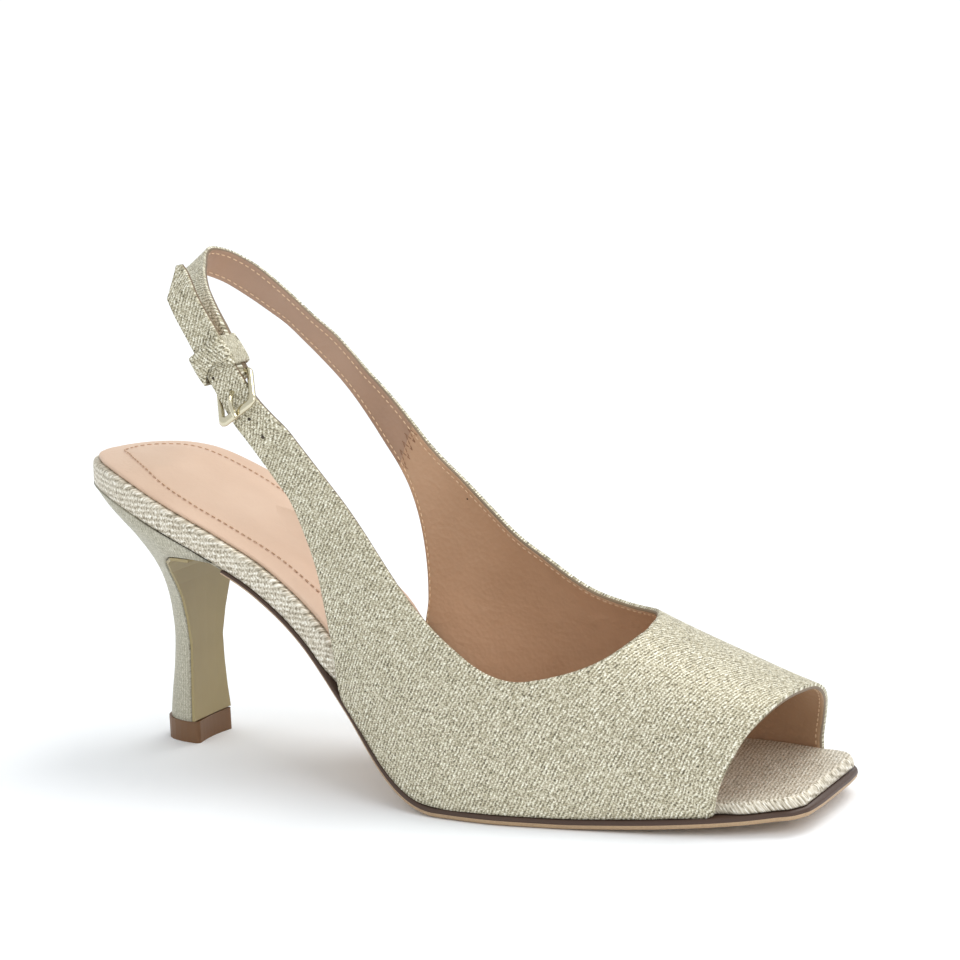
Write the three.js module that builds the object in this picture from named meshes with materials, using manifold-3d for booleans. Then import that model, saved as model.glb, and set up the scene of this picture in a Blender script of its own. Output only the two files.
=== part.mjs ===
// Open-toe slingback sandal on a covered heel, right foot.
// Millimetres. +X runs to the toe, +Y to the inner side of the foot, +Z is up.
// The origin lies on the tread of the heel tip, on the shoe's centre line.

import * as THREE from 'three';
import { mergeVertices } from 'three/addons/utils/BufferGeometryUtils.js';
import Module from 'manifold-3d';

const wasm = await Module();
wasm.setup();

// Driving dimensions of the last
const shoeLength = 232;        // from the back of the seat to the toe, along the floor
const ballWidth = 75;          // across the sole at its widest
const heelHeight = 78.4;       // floor to the feather edge at the back of the seat
const toeSpring = 4.3;         // rise of the feather edge at the toe
const instepHeight = 72.8;     // last's crown over the feather edge at the instep
const seatOverhang = 29.1;     // how far the seat reaches behind the origin

// Walls and fits
const upperWall = 1.7;         // covered fabric, lining and stiffener together
const strapWall = 1.5;         // the same where the upper runs out into straps
const clearance = 0.3;         // between pieces that meet
const smallestEdge = 0.01;     // finer edges left by a cut are closed up

// Sole, insole and sock
const soleThickness = 2.7;     // outsole at the tread
const shankThickness = 1.6;    // outsole under the arch
const soleMargin = 0.8;        // outsole past the feather edge at the toe
const soleBevel = 1.5;         // how far the lower edge of the outsole runs in
const seatThickness = 6.7;     // wrapped insole at the seat
const toeThickness = 3.2;      // wrapped insole under the toes
const insoleRound = 1.3;       // rounding of its upper edge
const sockThickness = 0.9;
const sockInset = 1.9;         // sock edge in from the insole's side
const sockLength = 180;        // from the back of the seat

// Heel
const heelSeatLength = 61;     // how far the heel runs forward under the seat
const tipHeight = 6.6;
const tipWidth = 17.8;
const tipFront = 5.8;          // front edge of the tread, from the origin
const tipDepth = 14.8;
const coverThickness = 0.9;    // leather on the breast of the heel

// Sling and buckle
const slingHeight = 146.8;      // top of the sling over the floor
const ankleWidth = 56;         // width of the sling's loop
const buckleWidth = 14.4;      // over the frame, across the strap
const buckleLength = 13.4;     // over the frame, along the strap
const frameTilt = 36;          // degrees that the frame stands off the strap
const frameCorner = 2.4;       // its corners
const wireDiameter = 1.8;
const prongDiameter = 1.4;
const keeperRise = 11.6;       // from the hinge bar to the keeper's upper edge
const keeperLength = 9;
const keeperInside = 11;       // across the strap
const keeperFront = 4.8;       // its inside from the hinge bar's middle, out past the strap
const keeperDepth = 8.2;       // its inside, through both straps
const keeperShift = -0.4;      // its middle from the buckle's, towards the toe
const keeperArch = 3.2;        // how far the middle of its lower edge is drawn up
const keeperWall = 0.9;

// The last, one row a section from the seat's back to the toe.
// along: share of shoeLength. outer, inner: half widths at the feather edge, shares of ballWidth.
// seat: share of the heel's rise. toe: share of toeSpring. crown: share of instepHeight.
// outerSwell, innerSwell: how far the wall stands out over the feather edge, shares of ballWidth.
// full: how square the section is, 1 for an ellipse.
const lastRows = [
  { along: 0.000, outer: 0.000, inner: 0.000, seat: 1.000, toe: 0, crown: 1.64, outerSwell: 0.000, innerSwell: 0.000, full: 0.80 },
  { along: 0.034, outer: 0.207, inner: 0.253, seat: 0.997, toe: 0, crown: 1.64, outerSwell: 0.000, innerSwell: 0.000, full: 0.80 },
  { along: 0.069, outer: 0.293, inner: 0.333, seat: 0.984, toe: 0, crown: 1.64, outerSwell: 0.010, innerSwell: 0.000, full: 0.80 },
  { along: 0.103, outer: 0.348, inner: 0.368, seat: 0.958, toe: 0, crown: 1.62, outerSwell: 0.030, innerSwell: 0.000, full: 0.80 },
  { along: 0.172, outer: 0.383, inner: 0.387, seat: 0.873, toe: 0, crown: 1.58, outerSwell: 0.040, innerSwell: 0.000, full: 0.80 },
  { along: 0.241, outer: 0.387, inner: 0.365, seat: 0.783, toe: 0, crown: 1.53, outerSwell: 0.053, innerSwell: 0.013, full: 0.80 },
  { along: 0.310, outer: 0.388, inner: 0.323, seat: 0.676, toe: 0, crown: 1.45, outerSwell: 0.060, innerSwell: 0.053, full: 0.80 },
  { along: 0.379, outer: 0.407, inner: 0.289, seat: 0.518, toe: 0, crown: 1.34, outerSwell: 0.053, innerSwell: 0.093, full: 0.80 },
  { along: 0.448, outer: 0.459, inner: 0.288, seat: 0.301, toe: 0, crown: 1.23, outerSwell: 0.033, innerSwell: 0.107, full: 0.80 },
  { along: 0.517, outer: 0.531, inner: 0.325, seat: 0.086, toe: 0, crown: 1.15, outerSwell: 0.000, innerSwell: 0.080, full: 0.82 },
  { along: 0.552, outer: 0.556, inner: 0.357, seat: 0.020, toe: 0, crown: 1.08, outerSwell: -0.010, innerSwell: 0.060, full: 0.84 },
  { along: 0.586, outer: 0.569, inner: 0.393, seat: 0.000, toe: 0, crown: 1.00, outerSwell: -0.013, innerSwell: 0.040, full: 0.85 },
  { along: 0.655, outer: 0.561, inner: 0.457, seat: 0.000, toe: 0, crown: 0.82, outerSwell: -0.013, innerSwell: 0.013, full: 0.86 },
  { along: 0.724, outer: 0.519, inner: 0.491, seat: 0.000, toe: 0.00, crown: 0.705, outerSwell: 0.000, innerSwell: 0.000, full: 0.86 },
  { along: 0.793, outer: 0.473, inner: 0.493, seat: 0.000, toe: 0.14, crown: 0.595, outerSwell: 0.007, innerSwell: 0.000, full: 0.84 },
  { along: 0.862, outer: 0.423, inner: 0.469, seat: 0.000, toe: 0.38, crown: 0.496, outerSwell: 0.013, innerSwell: 0.000, full: 0.80 },
  { along: 0.931, outer: 0.347, inner: 0.403, seat: 0.000, toe: 0.65, crown: 0.407, outerSwell: 0.020, innerSwell: 0.000, full: 0.76 },
  { along: 0.966, outer: 0.289, inner: 0.345, seat: 0.000, toe: 0.82, crown: 0.370, outerSwell: 0.027, innerSwell: 0.000, full: 0.74 },
  { along: 0.992, outer: 0.229, inner: 0.279, seat: 0.000, toe: 0.95, crown: 0.345, outerSwell: 0.027, innerSwell: 0.000, full: 0.70 },
  { along: 0.998, outer: 0.175, inner: 0.225, seat: 0.000, toe: 0.99, crown: 0.340, outerSwell: 0.027, innerSwell: 0.000, full: 0.70 },
  { along: 1.000, outer: 0.100, inner: 0.150, seat: 0.000, toe: 1.00, crown: 0.340, outerSwell: 0.027, innerSwell: 0.000, full: 0.70 },
];

// The upper, one row a line across it, from the outer strap round the toe to the inner strap.
// The lower end of a line lies on the opening of the toe, the feather edge or the back of a wing,
// the upper end on the topline. along: share of shoeLength. girth: share of the way round
// the last, -1 at the outer feather edge, 0 on top, 1 at the inner feather edge.
const upperRows = [
  { lowAlong: 0.336, lowGirth: -0.735, topAlong: 0.368, topGirth: -0.615 },
  { lowAlong: 0.355, lowGirth: -0.741, topAlong: 0.388, topGirth: -0.610 },
  { lowAlong: 0.375, lowGirth: -0.745, topAlong: 0.409, topGirth: -0.599 },
  { lowAlong: 0.396, lowGirth: -0.772, topAlong: 0.430, topGirth: -0.585 },
  { lowAlong: 0.412, lowGirth: -0.805, topAlong: 0.453, topGirth: -0.573 },
  { lowAlong: 0.422, lowGirth: -0.855, topAlong: 0.475, topGirth: -0.567 },
  { lowAlong: 0.432, lowGirth: -0.918, topAlong: 0.497, topGirth: -0.566 },
  { lowAlong: 0.441, lowGirth: -1.000, topAlong: 0.518, topGirth: -0.568 },
  { lowAlong: 0.474, lowGirth: -1.000, topAlong: 0.539, topGirth: -0.571 },
  { lowAlong: 0.512, lowGirth: -1.000, topAlong: 0.560, topGirth: -0.576 },
  { lowAlong: 0.552, lowGirth: -1.000, topAlong: 0.581, topGirth: -0.585 },
  { lowAlong: 0.592, lowGirth: -1.000, topAlong: 0.603, topGirth: -0.596 },
  { lowAlong: 0.632, lowGirth: -1.000, topAlong: 0.626, topGirth: -0.604 },
  { lowAlong: 0.672, lowGirth: -1.000, topAlong: 0.650, topGirth: -0.602 },
  { lowAlong: 0.712, lowGirth: -1.000, topAlong: 0.675, topGirth: -0.588 },
  { lowAlong: 0.752, lowGirth: -1.000, topAlong: 0.700, topGirth: -0.553 },
  { lowAlong: 0.792, lowGirth: -1.000, topAlong: 0.724, topGirth: -0.503 },
  { lowAlong: 0.832, lowGirth: -1.000, topAlong: 0.746, topGirth: -0.440 },
  { lowAlong: 0.870, lowGirth: -1.000, topAlong: 0.764, topGirth: -0.360 },
  { lowAlong: 0.905, lowGirth: -1.000, topAlong: 0.776, topGirth: -0.270 },
  { lowAlong: 0.911, lowGirth: -0.900, topAlong: 0.781, topGirth: -0.210 },
  { lowAlong: 0.917, lowGirth: -0.790, topAlong: 0.784, topGirth: -0.155 },
  { lowAlong: 0.926, lowGirth: -0.665, topAlong: 0.786, topGirth: -0.105 },
  { lowAlong: 0.936, lowGirth: -0.515, topAlong: 0.786, topGirth: -0.060 },
  { lowAlong: 0.947, lowGirth: -0.365, topAlong: 0.784, topGirth: -0.020 },
  { lowAlong: 0.956, lowGirth: -0.200, topAlong: 0.781, topGirth: 0.025 },
  { lowAlong: 0.962, lowGirth: -0.030, topAlong: 0.777, topGirth: 0.070 },
  { lowAlong: 0.966, lowGirth: 0.140, topAlong: 0.772, topGirth: 0.120 },
  { lowAlong: 0.967, lowGirth: 0.300, topAlong: 0.766, topGirth: 0.170 },
  { lowAlong: 0.964, lowGirth: 0.450, topAlong: 0.759, topGirth: 0.220 },
  { lowAlong: 0.958, lowGirth: 0.590, topAlong: 0.752, topGirth: 0.262 },
  { lowAlong: 0.951, lowGirth: 0.720, topAlong: 0.744, topGirth: 0.297 },
  { lowAlong: 0.944, lowGirth: 0.853, topAlong: 0.735, topGirth: 0.328 },
  { lowAlong: 0.938, lowGirth: 1.000, topAlong: 0.725, topGirth: 0.355 },
  { lowAlong: 0.900, lowGirth: 1.000, topAlong: 0.711, topGirth: 0.382 },
  { lowAlong: 0.860, lowGirth: 1.000, topAlong: 0.697, topGirth: 0.398 },
  { lowAlong: 0.820, lowGirth: 1.000, topAlong: 0.682, topGirth: 0.412 },
  { lowAlong: 0.780, lowGirth: 1.000, topAlong: 0.667, topGirth: 0.423 },
  { lowAlong: 0.740, lowGirth: 1.000, topAlong: 0.652, topGirth: 0.430 },
  { lowAlong: 0.700, lowGirth: 1.000, topAlong: 0.637, topGirth: 0.433 },
  { lowAlong: 0.660, lowGirth: 1.000, topAlong: 0.622, topGirth: 0.434 },
  { lowAlong: 0.620, lowGirth: 1.000, topAlong: 0.606, topGirth: 0.431 },
  { lowAlong: 0.580, lowGirth: 1.000, topAlong: 0.590, topGirth: 0.428 },
  { lowAlong: 0.540, lowGirth: 1.000, topAlong: 0.573, topGirth: 0.427 },
  { lowAlong: 0.500, lowGirth: 1.000, topAlong: 0.556, topGirth: 0.429 },
  { lowAlong: 0.461, lowGirth: 1.000, topAlong: 0.538, topGirth: 0.434 },
  { lowAlong: 0.424, lowGirth: 1.000, topAlong: 0.519, topGirth: 0.448 },
  { lowAlong: 0.425, lowGirth: 0.925, topAlong: 0.500, topGirth: 0.466 },
  { lowAlong: 0.423, lowGirth: 0.855, topAlong: 0.480, topGirth: 0.488 },
  { lowAlong: 0.416, lowGirth: 0.786, topAlong: 0.459, topGirth: 0.516 },
  { lowAlong: 0.404, lowGirth: 0.738, topAlong: 0.437, topGirth: 0.538 },
  { lowAlong: 0.389, lowGirth: 0.715, topAlong: 0.415, topGirth: 0.551 },
  { lowAlong: 0.371, lowGirth: 0.703, topAlong: 0.394, topGirth: 0.561 },
  { lowAlong: 0.349, lowGirth: 0.688, topAlong: 0.373, topGirth: 0.570 },
  { lowAlong: 0.326, lowGirth: 0.675, topAlong: 0.350, topGirth: 0.579 },
];

// The outer strap's free end, from its tip down to the wing.
// along, side, height: shares of shoeLength from the seat's back, ankleWidth and slingHeight,
// for the strap's rear edge (low) and its front edge (top). wall: share of strapWall.
const tipRows = [
  { lowAlong: 0.229, lowSide: -0.539, lowHeight: 0.990, topAlong: 0.235, topSide: -0.539, topHeight: 0.992, wall: 1 },
  { lowAlong: 0.224, lowSide: -0.542, lowHeight: 0.967, topAlong: 0.242, topSide: -0.541, topHeight: 0.979, wall: 1 },
  { lowAlong: 0.214, lowSide: -0.548, lowHeight: 0.926, topAlong: 0.249, topSide: -0.547, topHeight: 0.958, wall: 1 },
  { lowAlong: 0.225, lowSide: -0.554, lowHeight: 0.893, topAlong: 0.259, topSide: -0.553, topHeight: 0.926, wall: 1 },
  { lowAlong: 0.239, lowSide: -0.557, lowHeight: 0.857, topAlong: 0.274, topSide: -0.557, topHeight: 0.890, wall: 1 },
  { lowAlong: 0.252, lowSide: -0.559, lowHeight: 0.823, topAlong: 0.288, topSide: -0.559, topHeight: 0.856, wall: 1 },
  { lowAlong: 0.265, lowSide: -0.559, lowHeight: 0.787, topAlong: 0.301, topSide: -0.559, topHeight: 0.820, wall: 1 },
  { lowAlong: 0.280, lowSide: -0.559, lowHeight: 0.750, topAlong: 0.315, topSide: -0.559, topHeight: 0.785, wall: 1 },
  { lowAlong: 0.300, lowSide: -0.555, lowHeight: 0.697, topAlong: 0.335, topSide: -0.555, topHeight: 0.742, wall: 1 },
  { lowAlong: 0.318, lowSide: -0.545, lowHeight: 0.660, topAlong: 0.352, topSide: -0.537, topHeight: 0.711, wall: 1.05 },
];

// The sling, from the inner wing round the heel to the fold over the buckle's hinge bar.
const slingRows = [
  { lowAlong: 0.304, lowSide: 0.440, lowHeight: 0.731, topAlong: 0.327, topSide: 0.418, topHeight: 0.780, wall: 1.05 },
  { lowAlong: 0.280, lowSide: 0.444, lowHeight: 0.765, topAlong: 0.301, topSide: 0.420, topHeight: 0.818, wall: 1 },
  { lowAlong: 0.255, lowSide: 0.446, lowHeight: 0.799, topAlong: 0.272, topSide: 0.419, topHeight: 0.852, wall: 1 },
  { lowAlong: 0.229, lowSide: 0.444, lowHeight: 0.834, topAlong: 0.245, topSide: 0.411, topHeight: 0.889, wall: 1 },
  { lowAlong: 0.201, lowSide: 0.432, lowHeight: 0.864, topAlong: 0.219, topSide: 0.393, topHeight: 0.925, wall: 1 },
  { lowAlong: 0.175, lowSide: 0.405, lowHeight: 0.893, topAlong: 0.195, topSide: 0.362, topHeight: 0.957, wall: 1 },
  { lowAlong: 0.151, lowSide: 0.358, lowHeight: 0.921, topAlong: 0.174, topSide: 0.313, topHeight: 0.981, wall: 1 },
  { lowAlong: 0.134, lowSide: 0.288, lowHeight: 0.940, topAlong: 0.163, topSide: 0.245, topHeight: 0.994, wall: 1 },
  { lowAlong: 0.127, lowSide: 0.200, lowHeight: 0.951, topAlong: 0.160, topSide: 0.165, topHeight: 0.999, wall: 1 },
  { lowAlong: 0.130, lowSide: 0.105, lowHeight: 0.955, topAlong: 0.166, topSide: 0.085, topHeight: 0.996, wall: 1 },
  { lowAlong: 0.141, lowSide: 0.005, lowHeight: 0.953, topAlong: 0.177, topSide: 0.005, topHeight: 0.989, wall: 1 },
  { lowAlong: 0.157, lowSide: -0.105, lowHeight: 0.943, topAlong: 0.192, topSide: -0.088, topHeight: 0.979, wall: 1 },
  { lowAlong: 0.178, lowSide: -0.233, lowHeight: 0.925, topAlong: 0.210, topSide: -0.203, topHeight: 0.965, wall: 1 },
  { lowAlong: 0.204, lowSide: -0.356, lowHeight: 0.897, topAlong: 0.234, topSide: -0.325, topHeight: 0.941, wall: 1 },
  { lowAlong: 0.228, lowSide: -0.440, lowHeight: 0.864, topAlong: 0.258, topSide: -0.415, topHeight: 0.911, wall: 1.3 },
  { lowAlong: 0.245, lowSide: -0.487, lowHeight: 0.838, topAlong: 0.277, topSide: -0.473, topHeight: 0.882, wall: 1.8 },
  { lowAlong: 0.258, lowSide: -0.513, lowHeight: 0.815, topAlong: 0.292, topSide: -0.507, topHeight: 0.854, wall: 1.9 },
  { lowAlong: 0.267, lowSide: -0.524, lowHeight: 0.790, topAlong: 0.301, topSide: -0.521, topHeight: 0.827, wall: 2.2 },
  { lowAlong: 0.272, lowSide: -0.524, lowHeight: 0.764, topAlong: 0.306, topSide: -0.521, topHeight: 0.802, wall: 3.0 },
  { lowAlong: 0.278, lowSide: -0.526, lowHeight: 0.754, topAlong: 0.311, topSide: -0.526, topHeight: 0.791, wall: 3.3 },
  { lowAlong: 0.284, lowSide: -0.514, lowHeight: 0.741, topAlong: 0.317, topSide: -0.514, topHeight: 0.778, wall: 2.2 },
];

// The heel, one row a section from the tip to the seat.
// backRise, frontRise: shares of the height between tip and seat at the back and at the breast.
// back, front: places along the shoe as shares of heelSeatLength, from the origin.
// width: half width as a share of ballWidth. seat: how far the outline is the seat's own.
const heelRows = [
  { backRise: 0.000, frontRise: 0.000, back: -0.136, front: 0.084, width: 0.129, seat: 0.00 },
  { backRise: 0.100, frontRise: 0.135, back: -0.121, front: 0.080, width: 0.120, seat: 0.00 },
  { backRise: 0.212, frontRise: 0.288, back: -0.099, front: 0.080, width: 0.111, seat: 0.00 },
  { backRise: 0.325, frontRise: 0.440, back: -0.086, front: 0.082, width: 0.107, seat: 0.00 },
  { backRise: 0.451, frontRise: 0.592, back: -0.083, front: 0.090, width: 0.116, seat: 0.05 },
  { backRise: 0.550, frontRise: 0.726, back: -0.094, front: 0.097, width: 0.136, seat: 0.10 },
  { backRise: 0.634, frontRise: 0.821, back: -0.120, front: 0.105, width: 0.160, seat: 0.18 },
  { backRise: 0.719, frontRise: 0.907, back: -0.169, front: 0.118, width: 0.191, seat: 0.30 },
  { backRise: 0.803, frontRise: 0.973, back: -0.234, front: 0.145, width: 0.234, seat: 0.45 },
  { backRise: 0.880, frontRise: 1.010, back: -0.316, front: 0.205, width: 0.287, seat: 0.65 },
  { backRise: 0.944, frontRise: 1.018, back: -0.400, front: 0.330, width: 0.340, seat: 0.85 },
  { backRise: 1.000, frontRise: 1.000, back: -0.477, front: 0.523, width: 0.385, seat: 1.00 },
];

const mix = (a, b, t) => a + (b - a) * t;
const clamp = (value) => Math.min(1, Math.max(0, value));
const smoothstep = (from, to, value) => {
  const t = clamp((value - from) / (to - from));
  return t * t * (3 - 2 * t);
};

// Smooth value of a column between the rows, over any rising key.
function between(rows, keyOf, column, key) {
  const last = rows.length - 1;
  let i = 0;
  while (i < last - 1 && key > keyOf(rows[i + 1])) i += 1;
  const slope = (a, b) => (rows[b][column] - rows[a][column]) / (keyOf(rows[b]) - keyOf(rows[a]));
  const span = keyOf(rows[i + 1]) - keyOf(rows[i]);
  const t = (key - keyOf(rows[i])) / span;
  const here = slope(i, i + 1);
  const meet = (one, two) => (one * two > 0 ? mix(one, two, 0.5) : 0);
  const before = i > 0 ? meet(slope(i - 1, i), here) : here;
  const after = i < last - 1 ? meet(here, slope(i + 1, i + 2)) : here;
  const a = rows[i][column];
  const b = rows[i + 1][column];
  return a + (b - a) * t * t * (3 - 2 * t) + span * t * (1 - t) * (before * (1 - t) - after * t);
}

// The half widths of a round seat grow with the root of the way along it.
const rootAlong = (row) => Math.sqrt(row.along);
const lastValue = (column, along) => between(lastRows, rootAlong, column, Math.sqrt(along));

const alongX = (along) => along * shoeLength - seatOverhang;
const featherHeight = (along) => soleThickness
  + (heelHeight - soleThickness) * lastValue('seat', along) + toeSpring * lastValue('toe', along);

// Place on the outside of the last.
function lastPoint(along, girth) {
  const angle = (1 - Math.abs(girth)) * Math.PI / 2;
  const side = girth < 0 ? 'outer' : 'inner';
  const foot = lastValue(side, along) * ballWidth;
  const swell = lastValue(`${side}Swell`, along) * ballWidth * Math.sin(Math.min(angle * 1.6, Math.PI / 2));
  const half = (foot + swell) * Math.max(Math.cos(angle), 0) ** lastValue('full', along);
  const rise = lastValue('crown', along) * instepHeight * Math.sin(angle);
  return new THREE.Vector3(alongX(along), Math.sign(girth) * half, featherHeight(along) + rise);
}

// A closed body from rings with equal numbers of points; each cap is a strip between mirrored points.
function loft(rings, capStrips) {
  const positions = [];
  const indices = [];
  const count = rings[0].length;
  for (const ring of rings) for (const p of ring) positions.push(p.x, p.y, p.z);
  for (let r = 0; r < rings.length - 1; r += 1) {
    for (let i = 0; i < count; i += 1) {
      const a = r * count + i;
      const b = r * count + (i + 1) % count;
      indices.push(a, b, b + count, a, b + count, a + count);
    }
  }
  const lastRing = (rings.length - 1) * count;
  for (const [a, b, c] of capStrips(count)) {
    indices.push(a, c, b);
    indices.push(lastRing + a, lastRing + b, lastRing + c);
  }
  return geometryOf(positions, indices);
}

// Triangles across a ring whose points i and count - 1 - i face each other.
function facingStrips(count) {
  const strips = [];
  for (let i = 0; i < count / 2 - 1; i += 1) {
    const a = i;
    const b = i + 1;
    const c = count - 2 - i;
    const d = count - 1 - i;
    strips.push([a, b, d]);
    if (b !== c) strips.push([b, c, d]);
  }
  return strips;
}

function geometryOf(positions, indices) {
  const geometry = new THREE.BufferGeometry();
  geometry.setAttribute('position', new THREE.Float32BufferAttribute(positions, 3));
  geometry.setIndex(indices);
  return geometry;
}

// A closed wall between two facing grids of points.
function shell(back, front) {
  const rows = back.length;
  const columns = back[0].length;
  const positions = [];
  const indices = [];
  for (const grid of [back, front]) for (const row of grid) for (const p of row) positions.push(p.x, p.y, p.z);
  const at = (layer, r, c) => layer * rows * columns + r * columns + c;
  const quad = (a, b, c, d) => indices.push(a, b, c, a, c, d);
  for (let r = 0; r < rows - 1; r += 1) {
    for (let c = 0; c < columns - 1; c += 1) {
      quad(at(0, r, c), at(0, r, c + 1), at(0, r + 1, c + 1), at(0, r + 1, c));
      quad(at(1, r, c), at(1, r + 1, c), at(1, r + 1, c + 1), at(1, r, c + 1));
    }
    quad(at(0, r, 0), at(0, r + 1, 0), at(1, r + 1, 0), at(1, r, 0));
    quad(at(0, r, columns - 1), at(1, r, columns - 1), at(1, r + 1, columns - 1), at(0, r + 1, columns - 1));
  }
  for (let c = 0; c < columns - 1; c += 1) {
    quad(at(0, 0, c), at(1, 0, c), at(1, 0, c + 1), at(0, 0, c + 1));
    quad(at(0, rows - 1, c), at(0, rows - 1, c + 1), at(1, rows - 1, c + 1), at(1, rows - 1, c));
  }
  return geometryOf(positions, indices);
}

// Outward direction of a grid of points at one of them.
function gridNormal(grid, r, c) {
  const next = grid[Math.min(r + 1, grid.length - 1)][c];
  const previous = grid[Math.max(r - 1, 0)][c];
  const up = grid[r][Math.min(c + 1, grid[0].length - 1)];
  const down = grid[r][Math.max(c - 1, 0)];
  const alongRows = next.clone().sub(previous);
  const alongColumns = up.clone().sub(down);
  return alongRows.cross(alongColumns).normalize();
}

// Joining and cutting of closed bodies
function solid(geometry) {
  const bare = geometry.index ? geometry.clone() : geometry;
  bare.deleteAttribute('normal');
  bare.deleteAttribute('uv');
  const merged = mergeVertices(bare, 1e-4);
  return new wasm.Manifold(new wasm.Mesh({
    numProp: 3,
    vertProperties: new Float32Array(merged.attributes.position.array),
    triVerts: new Uint32Array(merged.index.array),
  }));
}

function geometryFrom(manifold) {
  const mesh = manifold.getMesh();
  const positions = [];
  for (let i = 0; i < mesh.numVert; i += 1) {
    positions.push(...mesh.vertProperties.slice(i * mesh.numProp, i * mesh.numProp + 3));
  }
  return geometryOf(positions, Array.from(mesh.triVerts));
}

// Outline of the last seen from above, both sides from the back to the front, with the
// direction that leads straight out of it.
const outlineSteps = 54;
const evenShare = 0.15;
function outline(fromX, toX, steps = outlineSteps) {
  const from = Math.max((fromX + seatOverhang) / shoeLength, 0.0006);
  const to = Math.min((toX + seatOverhang) / shoeLength, 1);
  const sides = { outer: [], inner: [] };
  for (let i = 0; i <= steps; i += 1) {
    const even = i / steps;
    const eased = (1 - Math.cos(Math.PI * even)) / 2;
    const along = mix(from, to, mix(eased, even, evenShare));
    sides.outer.push({ along, x: alongX(along), y: -lastValue('outer', along) * ballWidth });
    sides.inner.push({ along, x: alongX(along), y: lastValue('inner', along) * ballWidth });
  }
  for (const [side, sign] of [['outer', 1], ['inner', -1]]) {
    const points = sides[side];
    points.forEach((point, i) => {
      const next = points[Math.min(i + 1, steps)];
      const previous = points[Math.max(i - 1, 0)];
      const length = Math.hypot(next.x - previous.x, next.y - previous.y);
      point.nx = sign * (next.y - previous.y) / length;
      point.ny = -sign * (next.x - previous.x) / length;
    });
  }
  return sides;
}

// A level loop of an outline: inset and lift give how far in and how high over the feather edge
// each place lies, the lift square to the seat.
function loop(sides, inset, lift) {
  const place = (point, side) => {
    const inward = inset(point.along, side);
    const share = clamp(point.along);
    const step = 0.002;
    const rise = featherHeight(Math.min(share + step, 1)) - featherHeight(Math.max(share - step, 0.0001));
    const run = (Math.min(share + step, 1) - Math.max(share - step, 0.0001)) * shoeLength;
    const tilt = Math.hypot(rise, run);
    const up = lift(point.along);
    return new THREE.Vector3(
      point.x - point.nx * inward - up * rise / tilt,
      point.y - point.ny * inward,
      featherHeight(share) + up * run / tilt,
    );
  };
  const outer = sides.outer.map((point) => place(point, 'outer'));
  const inner = sides.inner.map((point) => place(point, 'inner'));
  return [...outer, ...inner.reverse()];
}

// Where the upper's wall stands on the sole, as shares along each side
const feather = { outer: upperRows.filter((row) => row.lowGirth === -1), inner: upperRows.filter((row) => row.lowGirth === 1) };
const wingStart = { outer: Math.min(...feather.outer.map((row) => row.lowAlong)), inner: Math.min(...feather.inner.map((row) => row.lowAlong)) };
const wingEnd = { outer: Math.max(...feather.outer.map((row) => row.lowAlong)), inner: Math.max(...feather.inner.map((row) => row.lowAlong)) };

// How far the insole draws in to clear the wall
const drawIn = 0.03;
const drawMargin = 0.006;
function wallInset(along, side) {
  const starts = smoothstep(wingStart[side] - drawIn - drawMargin, wingStart[side] - drawMargin, along);
  const ends = 1 - smoothstep(wingEnd[side] + drawMargin, wingEnd[side] + drawIn + drawMargin, along);
  return (upperWall + clearance) * starts * ends;
}

const insoleThickness = (along) => mix(seatThickness, toeThickness, smoothstep(0.42, 0.62, along));

function makeOutsole() {
  const sides = outline(alongX(0) + heelSeatLength + clearance, alongX(1));
  const margin = (along) => soleMargin * mix(0.3, 1, smoothstep(0.55, 0.9, along));
  const thickness = (along) => mix(shankThickness, soleThickness, smoothstep(0.46, 0.585, along));
  const rings = [
    loop(sides, (along) => soleBevel - margin(along), (along) => -thickness(along)),
    loop(sides, (along) => 0.3 - margin(along), (along) => -0.72 * thickness(along)),
    loop(sides, (along) => -margin(along), (along) => -0.4 * thickness(along)),
    loop(sides, (along) => 0.2 - margin(along), () => 0),
  ];
  return loft(rings, facingStrips);
}

function makeInsole() {
  const sides = outline(alongX(0), alongX(1) - soleMargin);
  const top = (along) => insoleThickness(along) + clearance;
  const rings = [
    loop(sides, (along, side) => wallInset(along, side) + 0.3, () => clearance),
    loop(sides, wallInset, (along) => mix(clearance, top(along), 0.3)),
    loop(sides, wallInset, (along) => top(along) - insoleRound),
    loop(sides, (along, side) => wallInset(along, side) + insoleRound * 0.35, (along) => top(along) - insoleRound * 0.3),
    loop(sides, (along, side) => wallInset(along, side) + insoleRound, top),
  ];
  return loft(rings, facingStrips);
}

function makeSock() {
  const sides = outline(alongX(0), alongX(sockLength / shoeLength), 36);
  const inset = (along, side) => wallInset(along, side) + sockInset;
  const bottom = (along) => insoleThickness(along) + 2 * clearance;
  const rings = [
    loop(sides, inset, bottom),
    loop(sides, inset, (along) => bottom(along) + sockThickness),
  ];
  return loft(rings, facingStrips);
}

// A ring of the heel: the outer side from the breast to the back, then the inner side forward.
const heelRing = 11;
function heelSection(row, frontShift) {
  const outer = [];
  const inner = [];
  const half = row.width * ballWidth;
  const back = row.back * heelSeatLength;
  const front = row.front * heelSeatLength;
  const seatEnd = heelSeatLength / shoeLength;
  for (let i = 0; i < heelRing; i += 1) {
    const share = (i / (heelRing - 1)) ** 1.5;
    const along = Math.max(share * seatEnd, 0.0006);
    const roundY = Math.sqrt(Math.max(1 - (1 - Math.max(share, 0.002)) ** 2, 0));
    const forward = mix(back, front, share);
    const rise = mix(row.backRise, row.frontRise, share);
    for (const [side, list, sign] of [['outer', outer, -1], ['inner', inner, 1]]) {
      const seatY = lastValue(side, along) * ballWidth;
      const y = sign * mix(half * roundY, seatY, row.seat);
      const z = mix(tipHeight + clearance, featherHeight(along), rise);
      list.push(new THREE.Vector3(forward + frontShift.x * share, y, z + frontShift.z * share));
    }
  }
  return [...outer, ...inner.reverse()];
}

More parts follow.
